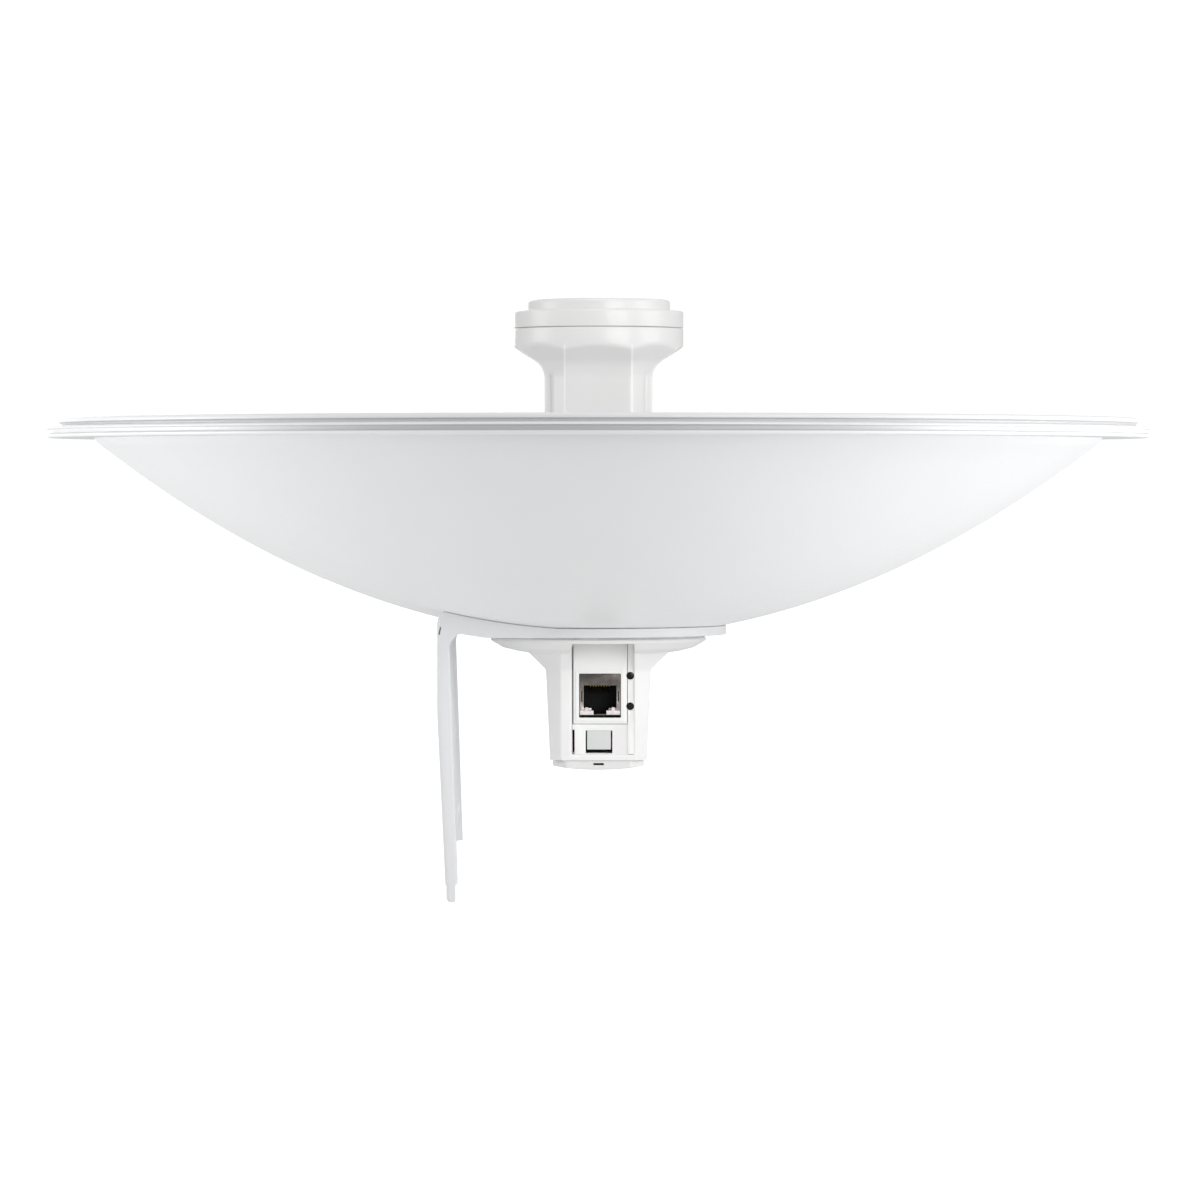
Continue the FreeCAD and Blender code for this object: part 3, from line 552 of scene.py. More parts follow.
# Painted highlight: paler lines along the neck's eight corners, up to the head.
paint_edge_highlights(FEED_WHITE)
PANEL_WHITE = moulded("panel white", (0.91, 0.912, 0.902), 0.38, 2200, 0.15)
LATCH_WHITE = moulded("latch white", (0.8, 0.81, 0.805), 0.4, 2200, 0.2)
NATURAL = moulded("natural moulding", (0.75, 0.75, 0.71), 0.5)
FOAM = soft_rubber("foam gasket", (0.62, 0.63, 0.64))
GREY_RUBBER = soft_rubber("grey rubber", (0.4, 0.41, 0.42))
PAD_RUBBER = soft_rubber("thermal pad", (0.28, 0.33, 0.42))
ZINC = bare_metal("zinc plate", (0.66, 0.66, 0.67), 0.34)
TIN = bare_metal("tinned sheet", (0.7, 0.7, 0.68), 0.38, (1, 1, 12))
BRASS = bare_metal("brass", (0.72, 0.5, 0.2), 0.35, (30, 30, 1))
GOLD = bare_metal("gold plate", (0.85, 0.6, 0.22), 0.25)
ALUMINIUM = bare_metal("aluminium", (0.74, 0.75, 0.76), 0.36, (20, 1, 1))
# Painted shade: the jack's nickel darkens towards its top, to 0.3 of its colour.
NICKEL = bare_metal("nickel sheet", (0.5, 0.455, 0.42), 0.3, (1, 1, 8), 420, 1.0,
                    (APEX_Z - 0.026, APEX_Z - 0.0145, 1.0, 0.3))
# The springs' pale colour is partly the tin's own and partly a painted reflection: pinkish white, and
# barely metallic.
SPRING_TIN_AND_REFLECTION = bare_metal("bright tin", (1.0, 0.93, 0.93), 0.45, (8, 1, 1), 300, 0.25)
BLACK = moulded("black moulding", (0.01, 0.01, 0.01), 0.5, 1800, 0.3, 0.2)
GLOSS_BLACK = moulded("smoked lens", (0.006, 0.006, 0.006), 0.14, 2500, 0.06, 0.3)
CHIP = moulded("chip moulding", (0.025, 0.025, 0.027), 0.55, 2600, 0.4)
LED = moulded("led body", (0.8, 0.8, 0.66), 0.2, 2600, 0.05)
BOARD_GREEN = circuit("solder mask", (0.012, 0.09, 0.035))

NODE_LOOKS = {
    "dish_washers": ZINC, "dish_screws": ZINC, "threaded_inserts": BRASS, "collar_gasket": FOAM,
    "cap_seal": FOAM, "radiator_board": BOARD_GREEN, "radiator_screws": ZINC, "feed_spacer": NATURAL,
    "subreflector": ALUMINIUM, "feed_pins": GOLD, "main_board": BOARD_GREEN, "board_screws": ZINC,
    "processor_chip": CHIP, "memory_chips": CHIP, "thermal_pad": PAD_RUBBER, "processor_shield": TIN,
    "radio_chip": CHIP, "rf_shield": TIN, "ethernet_transformer": CHIP, "power_inductors": CHIP,
    "capacitors": ALUMINIUM, "status_led": LED, "reset_switch": CHIP,
}
for node, look in NODE_LOOKS.items():
    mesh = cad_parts[node].data
    mesh.materials.clear()
    mesh.materials.append(look)


# ---------------------------------------------------------------- dish

def groove(wall, low, high, depth=0.95):
    """A soft groove rolled into an outer wall of the rim, as outline corners from its foot up."""
    floor = wall - depth
    return [(wall, low, 0.35), (floor, low + 0.35, 0.4), (floor, high - 0.35, 0.4), (wall, high, 0.35)]


def bowl_points(first, last, lift, steps=56):
    """Points along the paraboloid from one radius to another, lifted off its back surface."""
    radii = [first + (last - first) * i / steps for i in range(steps + 1)]
    return [(r, bow(r) + lift) for r in radii]


def make_dish():
    """The pressed bowl and its rolled rim, from one meridian."""
    floor = bow(DISH_FLAT)
    low = bow(BOWL_EDGE)
    near = BOWL_EDGE - 1.2
    step_in, out_in = RIM_STEP - 2 * SHEET, RIM_OUTER - 2 * SHEET
    bead_in = BEAD_INNER + SHEET
    bend = 6
    back = [(DISH_HOLE, floor), (DISH_FLAT - 3, floor), *bowl_points(DISH_FLAT, BOWL_EDGE - 2, 0)]
    rim = soft_loop([
        (BOWL_EDGE, low, 1.6), (RIM_OUTER, low, 1.1), *groove(RIM_OUTER, *LOWER_GROOVE),
        (RIM_OUTER, RIM_MID, 0.8), *groove(RIM_STEP, *UPPER_GROOVE)[1:], (RIM_STEP, RIM_TOP, 1.2),
        (BEAD_INNER, RIM_TOP, 1.5), (BEAD_INNER, BEAD_FOOT, 0.3), (bead_in, BEAD_FOOT, 0.3),
        (bead_in, RIM_TOP - SHEET, 0.8), (step_in, RIM_TOP - SHEET, 0.9),
        (step_in, RIM_MID - SHEET, 1.2), (out_in, RIM_MID - SHEET, 1.0),
        (out_in, low + SHEET, 1.0), (near, low + SHEET, 1.6)], bend)
    # The last corner only steers its neighbours, so its own points are left out.
    rim = rim[:-(bend + 1)]
    inner = [(near + 3, low + SHEET), *bowl_points(near, DISH_FLAT, SHEET)]
    inner += [(DISH_FLAT - 3, floor + SHEET), (DISH_HOLE, floor + SHEET)]
    dish = rough("dish_shell", lathe(back + rim + inner, 256))
    return piece(dish, "root", WHITE_PAINT, ["dish_reflector"], 40)


# ---------------------------------------------------------------- bracket

def arm_x(z, shift=0.0):
    """x of the arm's inner face at a height."""
    top_x, top_z, end_x = -55.9, -1.0, -52.9
    return top_x + (z - top_z) * (end_x - top_x) / (ARM_END - top_z) + shift


def lip_outline(end_z, end_shift, pointer=False):
    """One side flange of the bracket, in (x, z); the near one ends in the elevation pointer."""
    under = BASE_UNDER - 0.1
    proud = 0.05
    left, tip = -57.4 + end_shift, -98.0
    foot = [(arm_x(end_z, proud), end_z, 0.8), (left, end_z, 0.8)]
    if pointer:
        foot[1:] = [(-54.0, end_z, 0), (-54.0, tip, 1.45), (-57.0, tip, 1.45), (-57.0, end_z, 0),
                    (left, end_z, 0)]
    return soft_loop([
        (-7, under, 0), (-42.6, under, 8), (-52.4, 2.7, 3), (-55.9 + proud, -1.0, 5), *foot,
        (-60.4, -27, 30), (-60.4, 10.9, 4.6), (-46, 12, 1), (-7, 12, 0)], 8)


def round_over(depth, radius):
    """How far an edge of a radius stands in at a depth below the face."""
    gap = max(0.0, radius - depth)
    return radius - math.sqrt(radius * radius - gap * gap)


def flange(outline, outer, inner):
    """A side flange whose long outer edge is rolled over, as a pressed bend is."""
    roll, edge = 1.9, 0.4
    way = 1 if inner > outer else -1
    depths = [0, 0.03, 0.12, 0.25, edge, 0.65, 1.0, 1.4, roll]
    levels = []
    for depth in depths:
        level = []
        for x, z in outline:
            share = max(0.0, min(1.0, (arm_x(z) - x) / 4.5)) if z < 10 else 0.0
            back = round_over(depth, edge) if z < 1 and x > arm_x(z) - 0.5 else 0.0
            level.append((x + round_over(depth, roll) * share - back, outer + way * depth, z))
        levels.append(level)
    levels.append([(x, inner, z) for x, z in outline])
    return stack(levels)


def arc_slot_loop():
    """The elevation slot about the pivot hole, in (y, z)."""
    radius, half, sweep = 34.0, 4.2, 20.0

    def around(centre, size, first, last, steps):
        turns = [math.radians(first + (last - first) * i / steps) for i in range(steps + 1)]
        return [centre + size * Vector((math.cos(a), math.sin(a))) for a in turns]

    pivot = Vector((0, -PIVOT_DROP))
    low, high = 270 - sweep, 270 + sweep
    ends = [around(pivot, radius, turn, turn, 1)[0] for turn in (high, low)]
    points = around(pivot, radius + half, low, high, 12)
    points += around(ends[0], half, high, high + 180, 12)[1:-1]
    points += around(pivot, radius - half, high, low, 12)
    points += around(ends[1], half, low + 180, low + 360, 12)[1:-1]
    return [tuple(p) for p in points]


def bracket_cuts():
    """What is cut from the bracket: the dish's curve, the arm's end, its holes and the bend's notch."""
    notch = soft_loop([(-59.3, 5.2, 0.2), (-59.9, 2.4, 0.2), (-59.35, 2.3, 0.2), (-58.8, 5.1, 0.2)], 4)
    clear = 0.18
    contour = [(r, bow(r) - clear) for r in range(38, 82, 2)] + [(80, 30), (38, 30)]
    arm_end = soft_loop([(-36, -75.6, 3), (-36, -100, 0), (47, -100, 0), (47, -81.4, 0)], 6)
    pivot = circle_loop(0, -PIVOT_DROP, PIVOT_R)
    through = [prism(loop, "x", -70, -40) for loop in (arm_end, pivot, arc_slot_loop())]
    neck_hole = prism(circle_loop(0, 0, DISH_HOLE, 96), "z", -2, 8)
    return [lathe(contour, 256), *through, neck_hole, prism(notch, "y", -50, 2.2 - ARM_HALF)]


def make_bracket():
    """The folded plate: round seat, bend, leaning arm and two side flanges cut to the dish's curve."""
    top = BASE_UNDER + PLATE
    under, over, end_z = BASE_UNDER - 0.05, top - 0.12, ARM_END + 0.1
    seat = soft_loop([
        (0, BASE_UNDER, 0), (SEAT_R, BASE_UNDER, 0.4), (SEAT_R, 4.45, 0.15), (SEAT_R - 0.2, 4.65, 0),
        (46, 4.15, 0), (43, top, 0), (0, top, 0)], 4)
    strip = soft_loop([
        (-8, under, 0), (-42.6, under, 8), (-52.4, 2.75, 3), (-55.9, -1.0, 5),
        (arm_x(end_z), end_z, 0.5), (arm_x(end_z, -PLATE), end_z, 0.5), (-58.4, 0.6, 6),
        (-54.4, top + 1.5, 3), (-42.6, over, 8), (-8, over, 0)], 8)
    buried = ARM_HALF - 1.3
    plate = rough("bracket_plate", lathe(seat, 192))
    combine(plate, "UNION", prism(strip, "y", -buried, buried),
            flange(lip_outline(ARM_END, 0, True), -ARM_HALF, PLATE - ARM_HALF),
            flange(lip_outline(FAR_END, -0.4), ARM_HALF, ARM_HALF - PLATE))
    combine(plate, "DIFFERENCE", *bracket_cuts())
    weld(plate, 2e-3)
    piece(plate, "root", ARM_PAINT, ["mount_bracket"])


# ---------------------------------------------------------------- eight-sided shells

def facet_columns(facet, round_r, across=6, bend=4):
    """Points of an eight-sided section as (A, B) pairs: at half width w a point stands at A + B w."""
    tip = round_r * math.tan(math.radians(22.5))
    sector = []
    for k in range(across):
        sector.append((Vector(((facet - tip) * k / across, 0)), Vector((0, -1))))
    for k in range(bend + 1):
        turn = math.radians(45) * k / bend
        spot = Vector((facet - tip + round_r * math.sin(turn), round_r - round_r * math.cos(turn)))
        sector.append((spot, Vector((0, -1))))
    root = tip / math.sqrt(2)
    for k in range(1, across):
        u = k / across
        shift = u * (facet + math.sqrt(2) * tip)
        sector.append((Vector((facet + root - shift, root - shift)), Vector((u, u - 1))))
    for k in range(bend + 1):
        turn = math.radians(45) + math.radians(45) * k / bend
        spot = Vector((round_r * math.sin(turn) - round_r, -facet + tip - round_r * math.cos(turn)))
        sector.append((spot, Vector((1, 0))))
    for k in range(1, across):
        sector.append((Vector((0, (-facet + tip) * (1 - k / across))), Vector((1, 0))))
    columns = []
    for quarter in range(4):
        spin = Matrix.Rotation(math.radians(90 * quarter), 2)
        columns += [(spin @ a, spin @ b) for a, b in sector]
    return columns


def reach(column, radius):
    """The half width at which a column meets a cylinder about the axis."""
    a, b = column
    aa, ab, bb = a.dot(a) - radius * radius, a.dot(b), b.dot(b)
    return (-ab + math.sqrt(ab * ab - aa * bb)) / bb


def make_feed_housing():
    """The neck, its swept facets and the lower half of the head, as one hollow shell."""
    columns = facet_columns(NECK_FACET, 2.2)
    bend_w = NECK_HALF + FLARE_R * (1 - math.cos(math.radians(FLARE_TURN)))
    bend_z = FLARE_Z + FLARE_R * math.sin(math.radians(FLARE_TURN))
    rise = math.tan(math.radians(90 - FLARE_TURN))
    notch_left, notch_right, notch_top, foot = -10.2, 13.7, -1.15, -4.4
    blend = 1.1

    def at(column, w, z):
        spot = column[0] + column[1] * w
        side, front = abs(spot.x), abs(spot.y)
        seam = max(0.0, min(1.0, (SEAM_TOP - z) / 2.0)) if w < NECK_HALF + 3 else 0.0
        if 18.15 < side < 19.45 and front < side:
            spot = spot * (1 - 0.045 * seam)
        return (spot.x, spot.y, z)

    def foot_of(column):
        spot = column[0] + column[1] * NECK_HALF
        return notch_top if spot.y < -14 and notch_left < spot.x < notch_right else foot

    levels = [[at(c, NECK_HALF, foot_of(c)) for c in columns]]
    for z in (4, 20, 40, 60, 80, 92, FLARE_Z):
        levels.append([at(c, NECK_HALF, z) for c in columns])
    for k in range(1, 13):
        turn = math.radians(FLARE_TURN * k / 12)
        w = NECK_HALF + FLARE_R * (1 - math.cos(turn))
        levels.append([at(c, w, FLARE_Z + FLARE_R * math.sin(turn)) for c in columns])
    ends = [reach(c, HEAD_R) for c in columns]
    for share in (0.35, 0.7):
        runs = [(e - blend - bend_w) * share for e in ends]
        levels.append([at(c, bend_w + run, bend_z + run * rise) for c, run in zip(columns, runs)])
    for t in (0, 0.25, 0.5, 0.75, 1):
        ring = []
        for c, e in zip(columns, ends):
            z_end = bend_z + (e - bend_w) * rise
            slope, corner, side = [Vector(at(c, *spot)) for spot in (
                (e - blend, z_end - blend * rise), (e, z_end), (e, z_end + blend))]
            ring.append(tuple(slope * (1 - t) ** 2 + corner * 2 * t * (1 - t) + side * t * t))
        levels.append(ring)
    wall = [Vector(at(c, e, 0)).to_2d() for c, e in zip(columns, ends)]
    for radius, z in ((HEAD_R, 113.6), (HEAD_R, HEAD_SPLIT - 0.35), (HEAD_R - 0.1, HEAD_SPLIT - 0.1),
                      (HEAD_R - 0.35, HEAD_SPLIT), (HEAD_BORE, HEAD_SPLIT), (HEAD_BORE, HEAD_FLOOR)):
        levels.append([(*(p * (radius / HEAD_R)), z) for p in wall])
    bore = [Vector(at(c, NECK_HALF, 0)).xy * (NECK_BORE / NECK_HALF) for c in columns]
    for z in (HEAD_FLOOR, 60):
        levels.append([(*p, z) for p in bore])
    levels.append([(*p, foot_of(c)) for p, c in zip(bore, columns)])
    shell = rough("feed_shell", stack(levels, cap=False))
    return piece(shell, "root", FEED_WHITE, ["feed_housing"], 50)


def make_feed_cap():
    """The two-step cap with its lip, turned about the axis."""
    foot = HEAD_SPLIT + SEAM
    outline = soft_loop([
        (29, 114.6, 0.2), (29.8, 114.6, 0.2), (29.8, foot, 0), (HEAD_R, foot, 0.35), (HEAD_R, 124.7, 0.9),
        (27.4, 124.7, 0.35), (27.4, 129, 1.5), (0, 129, 0), (0, 127.2, 0), (25.2, 127.2, 0.6),
        (25.2, 122.9, 0.3), (29, 122.9, 0.6)], 6)
    cap = rough("feed_cap_shell", lathe(outline, 192))
    return piece(cap, "root", FEED_WHITE, ["feed_cap"], 40)


def make_grommet():
    outline = soft_loop([
        (24.3, 1.2, 0.2), (26.5, 1.2, 0.2), (26.5, 4.85, 0), (27.9, 4.85, 0.3), (27.3, 6.0, 0.5),
        (24.3, 6.2, 0.4)], 4)
    ring = rough("neck_grommet_ring", lathe(outline, 128))
    piece(ring, "root", GREY_RUBBER, ["neck_grommet"], 40)


# ---------------------------------------------------------------- rear housing

def octagon_level(columns, w, z):
    return [tuple(a + b * w) + (z,) for a, b in columns]


def make_rear_housing():
    """Collar and tapered shell joined, then hollowed and opened for the port panel."""
    columns = facet_columns(14.3, 1.5)
    skin = [(18.4, -46.3), (19.9, -13.2)]
    for k in range(1, 9):
        turn = math.radians(40.6 * k / 8)
        skin.append((19.9 + 3 * (1 - math.cos(turn)), -13.2 + 3 * math.sin(turn)))
    skin += [(26.6, -5.4), (26.6, -3)]
    shell = rough("housing_shell", stack([octagon_level(columns, w, z) for w, z in skin]))
    collar = soft_loop([
        (0, COLLAR_TOP, 0), (41.2, COLLAR_TOP, 0.7), (41.2, -1.1, 0.8), (36.6, -3.8, 4), (31.4, -5.1, 6),
        (24, -6.3, 0), (0, -6.3, 0)], 5)
    combine(shell, "UNION", lathe(collar, 192))
    left, right, low, high = WINDOW
    cavity = soft_loop([(s * 16.4, t * 16.4, 2.5) for s, t in ((-1, -1), (1, -1), (1, 1), (-1, 1))], 4)
    combine(shell, "DIFFERENCE", prism(circle_loop(0, 0, 24.4, 96), "z", -4.5, 3),
            prism(cavity, "z", -50, 3), prism(box_loop(left, right, low, high, 0.5), "y", -46, -12))
    holes = [prism(circle_loop(x, y, 2.8, 32), "z", -3.5, 3) for x, y in ring_spots(33, 4)]
    combine(shell, "DIFFERENCE", *holes)
    weld(shell)
    soften(shell, 0.3, 2, 38)
    return piece(shell, "root", HOUSING_WHITE, ["rear_housing"], 34)


def make_end_cap():
    """The cap at the shell's foot, slightly crowned, with its drain slot."""
    columns = facet_columns(12.4, 1.5)
    skin = [(16.24, -45.3), (16.24, -46.3), (17.1, -46.35), (17.4, -46.6), (17.4, -48.8)]
    for k in range(6):
        turn = math.radians(18 * k)
        skin.append((16.9 + 0.5 * math.cos(turn), -49.5 - 0.5 * math.sin(turn)))
    cap = rough("end_cap_shell", stack([octagon_level(columns, w, z) for w, z in skin]))
    crown, crown_top = 0.0045, -48.7
    for vertex in cap.data.vertices:
        if vertex.co.z < crown_top:
            vertex.co.z += crown * vertex.co.x ** 2
    combine(cap, "DIFFERENCE", prism(box_loop(-1.95, 2.1, -48.2, -47.35, 0.3), "y", -19, -9))
    weld(cap)
    piece(cap, "root", HOUSING_WHITE, ["rear_end_cap"], 34)


# ---------------------------------------------------------------- port panel

def make_feed_tail():
    """The carrier tube with its raised panel, the jack opening, the latch opening and the dot holes."""
    def section(inset):
        half, back, corner = 15.6 - inset, 13 - inset, 1.9 - inset * 0.3
        return [
            (-half + corner, -half), (half - corner, -half), (half, -half + corner),
            (half, back - corner), (half - corner, back), (-half + corner, back),
            (-half, back - corner), (-half, -half + corner)]
    tube = rough("port_carrier", prism(section(0), "z", -45, 6))
    combine(tube, "DIFFERENCE", prism(section(1.4), "z", -43.6, 8))
    combine(tube, "UNION", prism(box_loop(-9.45, 10.9, -32.3, -1.6, 0.4), "y", -19.0, -15.4),
            prism(box_loop(-9.0, 11.25, -44.07, -31.9, 0.05), "y", -18.15, -15.4),
            prism(box_loop(-9.9, -8.8, -34.6, -32.5, 0.2), "y", -18.0, -15.4),
            prism(box_loop(-9.9, 12.85, -7.9, -1.35, 0), "y", -17.3, -15.4),
            prism(box_loop(11.15, 13.52, -43.9, -1.6, 0.1), "y", DOT_STRIP, -15.4),
            prism(box_loop(-8.7, 9.9, -31.4, -12.2, 0.7), "y", -19.35, -17))
    combine(tube, "DIFFERENCE", prism(box_loop(-7.35, 8.55, -30.05, -13.25, 0.35), "y", -25, -13),
            prism(box_loop(-4.85, 5.3, -43.65, -34.95, 0.15), "y", -25, -13),
            prism(box_loop(-9.83, -9.12, -43.3, -34.85, 0.1), "y", -25, -13),
            prism(box_loop(-9.2, 11.2, -32.6, -32.25, 0.05), "y", -20, -17.2),
            prism(circle_loop(DOT_X, PIPE_Z, DOT_HOLE, 32), "y", -20, -12),
            prism(circle_loop(DOT_X, BUTTON_Z, DOT_HOLE, 32), "y", -20, -12))
    weld(tube)
    soften(tube, 0.22, 2, 40)
    return piece(tube, "root", PANEL_WHITE, ["feed_tail"], 34)


def make_latch():
    """The square release tab with its knuckle and its catch."""
    tab = rough("latch_tab", prism(box_loop(-4.3, 4.7, -42.15, -35.05, 0.35), "y", -18.0, -16.6))
    knuckle = prism(circle_loop(-17.1, -34.9, 0.45, 20), "x", -4.3, 4.7)
    combine(tab, "UNION", knuckle, prism(box_loop(-3.0, 3.4, -41.9, -40.1, 0.2), "y", -16.8, -13.4))
    weld(tab)
    soften(tab, 0.25, 3, 40)
    piece(tab, "latch", LATCH_WHITE, ["release_latch"], 34)


def dome_rod(radius, front, back, bulge):
    """A rod along Y with a slightly domed, soft-edged front."""
    outline = [(0, front), (radius * 0.5, front + bulge * 0.25), (radius * 0.82, front + bulge * 0.67),
               (radius * 0.96, front + bulge), (radius, front + bulge * 1.6), (radius, back), (0, back)]
    bm = lathe(outline, 48)
    lay_down = Matrix.Rotation(math.radians(-90), 3, "X")
    bmesh.ops.rotate(bm, verts=bm.verts, cent=(0, 0, 0), matrix=lay_down)
    return bm


def make_dots():
    """The smoked light pipe and the black reset plunger."""
    pipe = dome_rod(DOT_R, DOT_STRIP + 0.05, -4.2, 0.2)
    bmesh.ops.translate(pipe, verts=pipe.verts, vec=(DOT_X, 0, PIPE_Z))
    piece(rough("light_pipe_rod", pipe), "root", GLOSS_BLACK, ["light_pipe"], 40)
    stem = dome_rod(DOT_R, DOT_STRIP + 0.05, -7.5, 0.2)
    bmesh.ops.translate(stem, verts=stem.verts, vec=(DOT_X, 0, BUTTON_Z))
    button = rough("reset_plunger", stem)
    combine(button, "UNION", prism(box_loop(9.85, 12.85, -27.7, -23.7, 0.3), "y", -13.9, -12.8))
    weld(button)
    piece(button, "button", BLACK, ["reset_button"], 40)


# ---------------------------------------------------------------- jack

def plug_loop(grow, foot):
    """The plug opening: wide mouth, narrow notch below."""
    mid, half, notch, top, step = JACK_MID, 6.1 + grow, 3.1 + grow, -17.9 + grow, -26.2 - grow
    return soft_loop([
        (mid - half, step, 0.3), (mid - notch, step, 0.3), (mid - notch, foot, 0),
        (mid + notch, foot, 0), (mid + notch, step, 0.3), (mid + half, step, 0.3),
        (mid + half, top, 0.3), (mid - half, top, 0.3)], 3)


def spring_tab(middle):
    """A folded retaining spring at the foot of the jack: a wide foot with a narrow tongue above."""
    foot = soft_loop([
        (-18.3, -28.95, 0.1), (-18.85, -28.95, 0.15), (-19.1, -28.3, 0.3), (-18.9, -27.35, 0.15),
        (-18.3, -27.25, 0.1)], 3)
    tongue = soft_loop([
        (-18.3, -27.9, 0.1), (-18.95, -27.9, 0.1), (-18.75, -26.2, 0.2), (-18.3, -26.0, 0.1)], 3)
    halves = ((foot, 2.55), (tongue, 0.55))
    return [prism(loop, "x", middle - half, middle + half) for loop, half in halves]


def make_jack():
    """Metal shell with its corner springs, black insert and eight bent contacts."""
    shell = rough("jack_can", prism(box_loop(-7.2, 8.4, -29.1, -13.4, 0.4), "y", -18.7, -2.6))
    combine(shell, "DIFFERENCE", prism(box_loop(-6.9, 8.1, -28.8, -13.7, 0.3), "y", -18.4, 0),
            prism(plug_loop(0.15, -31), "y", -20, -17),
            prism(box_loop(-6.6, 7.8, -30.5, -28.6, 0.1), "y", -20, -17))
    for side in (-1, 1):
        slit_x = JACK_MID + side * 6.95
        slit = box_loop(slit_x - 0.2, slit_x + 0.2, -24, -20, 0.15)
        combine(shell, "DIFFERENCE", prism(slit, "y", -20, -18))
    weld(shell)
    soften(shell, 0.08, 2, 40)
    piece(shell, "root", NICKEL, ["jack_shell"], 34)
    for name, middle in (("jack_spring_left", -4.4), ("jack_spring_right", 5.6)):
        spring = rough(name, bmesh.new())
        combine(spring, "UNION", *spring_tab(middle))
        soften(spring, 0.06, 1, 40)
        piece(spring, "root", SPRING_TIN_AND_REFLECTION)
    insert = rough("jack_block", prism(box_loop(-6.85, 8.05, -28.75, -13.75, 0.2), "y", -18.3, -2.8))
    combine(insert, "DIFFERENCE", prism(plug_loop(0, -28.5), "y", -19, -5.2))
    weld(insert)
    soften(insert, 0.1, 1, 40)
    piece(insert, "root", BLACK, ["jack_insert"], 34)
    path = [(-13.2, -18.1), (-12.8, -17.95), (-7.7, -20.7), (-7.4, -20.95), (-7.7, -21.0), (-13.2, -18.3)]
    pitch, half = 1.02, 0.17
    wires = bmesh.new()
    for i in range(8):
        middle = JACK_MID + (i - 3.5) * pitch
        wire = prism(path, "x", middle - half, middle + half)
        mesh = bpy.data.meshes.new("wire")
        wire.to_mesh(mesh)
        wires.from_mesh(mesh)
        wire.free()
        bpy.data.meshes.remove(mesh)
    piece(rough("jack_wires", wires), "root", GOLD, ["jack_contacts"], 30)


bowl = make_dish()
make_bracket()
neck = make_feed_housing()
cap = make_feed_cap()
make_grommet()
housing = make_rear_housing()
make_end_cap()
panel = make_feed_tail()
make_latch()
make_dots()
make_jack()


# ---------------------------------------------------------------- stage, lights and camera

# The floor's depth below the dish; where it starts to glow, where it is full, and how strongly.
FLOOR_DROP = 1.2
GLOW_START = 2.5
GLOW_FULL = 7.0
GLOW_LEVEL = 0.75

# Strength of the room's light, and of the white that the camera sees.
ROOM_LEVEL = 0.61
SEEN_LEVEL = 1.05

# Light boxes: name, turn from the camera's side, rise above level, and power in watts.
LIGHT_DISTANCE = 1.8
LIGHT_SIZE = 0.9
LIGHT_AIM = 0.03
HEAD_LIGHT = ("under_head", 0, -60, 4)
PORT_LIGHT = ("port_fill", 0, 5, 4)
BOWL_LIGHTS = (("low_right", 92, -10, 27), ("low_left", 268, -10, 23))
ROOM_LIGHTS = (
    ("right", 75, 8, 5.5), ("front", 26, 12, 8.5), ("left", 275, 10, 5), ("back", 190, 15, 5),
    ("top", 0, 75, 5),
)


def make_floor():
    """A wide pale floor well below the object; the camera sees its far parts glow towards white."""
    bm = bmesh.new()
    bmesh.ops.create_grid(bm, x_segments=16, y_segments=16, size=60)
    floor = rough("studio_floor", bm)
    floor.location = (AXIS_X, 0, APEX_Z - FLOOR_DROP)
    material, nodes, links, shader, place = new_material("studio white")
    cloud = noise(nodes, links, place, 1.5, 2, 0.4)
    tint = ramp(nodes, links, cloud.outputs["Fac"], (0.88, 0.88, 0.88), (0.91, 0.91, 0.91))
    links.new(tint.outputs["Color"], shader.inputs["Base Color"])
    shader.inputs["Roughness"].default_value = 0.9
    radius = nodes.new("ShaderNodeVectorMath")
    radius.operation = "LENGTH"
    links.new(place.outputs["Object"], radius.inputs[0])
    glow = nodes.new("ShaderNodeMapRange")
    glow.inputs["From Min"].default_value = GLOW_START
    glow.inputs["From Max"].default_value = GLOW_FULL
    glow.inputs["To Max"].default_value = GLOW_LEVEL
    links.new(radius.outputs["Value"], glow.inputs["Value"])
    seen = nodes.new("ShaderNodeLightPath").outputs["Is Camera Ray"]
    shown = math_node(nodes, links, "MULTIPLY", glow.outputs["Result"], seen)
    shader.inputs["Emission Color"].default_value = (1, 1, 1, 1)
    links.new(shown, shader.inputs["Emission Strength"])
    floor.data.materials.append(material)


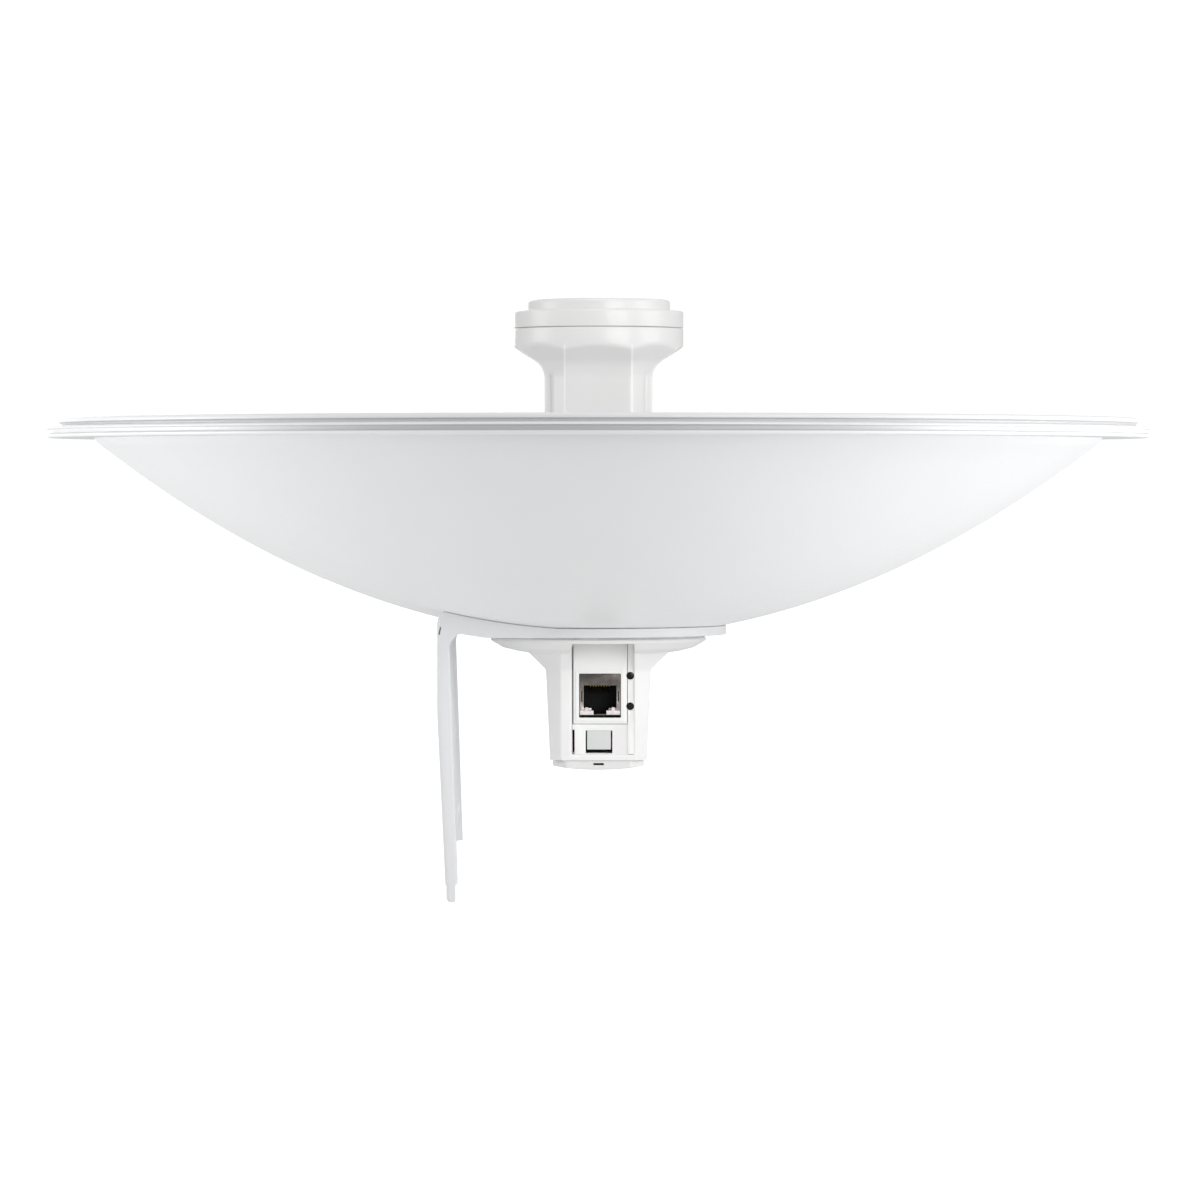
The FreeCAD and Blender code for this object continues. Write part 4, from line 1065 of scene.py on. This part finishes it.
def area_light(name, turn, rise, power):
    """A soft square box that faces the dish and that the camera doesn't see."""
    data = bpy.data.lights.new(name, "AREA")
    data.shape = "SQUARE"
    data.size = LIGHT_SIZE
    data.energy = power
    light = bpy.data.objects.new(name, data)
    centre = Vector((AXIS_X, 0, APEX_Z + LIGHT_AIM))
    turn, rise = math.radians(turn), math.radians(rise)
    across = Vector((math.sin(turn), -math.cos(turn), 0)) * math.cos(rise)
    light.location = centre + (across + Vector((0, 0, math.sin(rise)))) * LIGHT_DISTANCE
    light.rotation_euler = (centre - light.location).to_track_quat("-Z", "Y").to_euler()
    light.visible_camera = False
    bpy.context.scene.collection.objects.link(light)
    return light


def make_world():
    """An even pale room, which the camera sees as pure white."""
    world = bpy.data.worlds.new("studio")
    bpy.context.scene.world = world
    world.use_nodes = True
    nodes, links = world.node_tree.nodes, world.node_tree.links
    background = nodes["Background"]
    background.inputs["Color"].default_value = (1, 1, 1, 1)
    seen = nodes.new("ShaderNodeLightPath")
    level = nodes.new("ShaderNodeMapRange")
    level.inputs["To Min"].default_value = ROOM_LEVEL
    level.inputs["To Max"].default_value = SEEN_LEVEL
    links.new(seen.outputs["Is Camera Ray"], level.inputs["Value"])
    links.new(level.outputs["Result"], background.inputs["Strength"])


def light_only(light, *pieces):
    """Keep a light off everything but some pieces."""
    group = bpy.data.collections.new(light.name + "_reach")
    for item in pieces:
        group.objects.link(item)
    light.light_linking.receiver_collection = group
    return group


def make_lights(dish, head, back):
    """Soft boxes all round, two low ones for the bowl only, and one each for the head and the ports.

    The head's box stands under the dish, which casts no shadow in its light.
    """
    make_world()
    under = area_light(*HEAD_LIGHT)
    under.light_linking.blocker_collection = light_only(under, *head)
    light_only(area_light(*PORT_LIGHT), *back)
    for low in BOWL_LIGHTS:
        light_only(area_light(*low), dish)
    for box in ROOM_LIGHTS:
        area_light(*box)


def make_camera():
    """Level with the bowl, in front of the ports, from about two metres, as a long lens sees it."""
    data = bpy.data.cameras.new("camera")
    data.sensor_width = 36
    distance = 1.942
    frame_width = 0.4596
    data.lens = 36 * distance / frame_width
    camera = bpy.data.objects.new("camera", data)
    aim = Vector((AXIS_X + 0.0006, 0, APEX_Z + 0.0142))
    camera.location = (aim.x, -distance, APEX_Z + 0.0617)
    camera.rotation_euler = (aim - camera.location).to_track_quat("-Z", "Y").to_euler()
    bpy.context.scene.collection.objects.link(camera)
    bpy.context.scene.camera = camera


make_floor()
make_lights(bowl, [neck, cap], [housing, panel])
make_camera()
bpy.context.scene.view_settings.view_transform = "Standard"
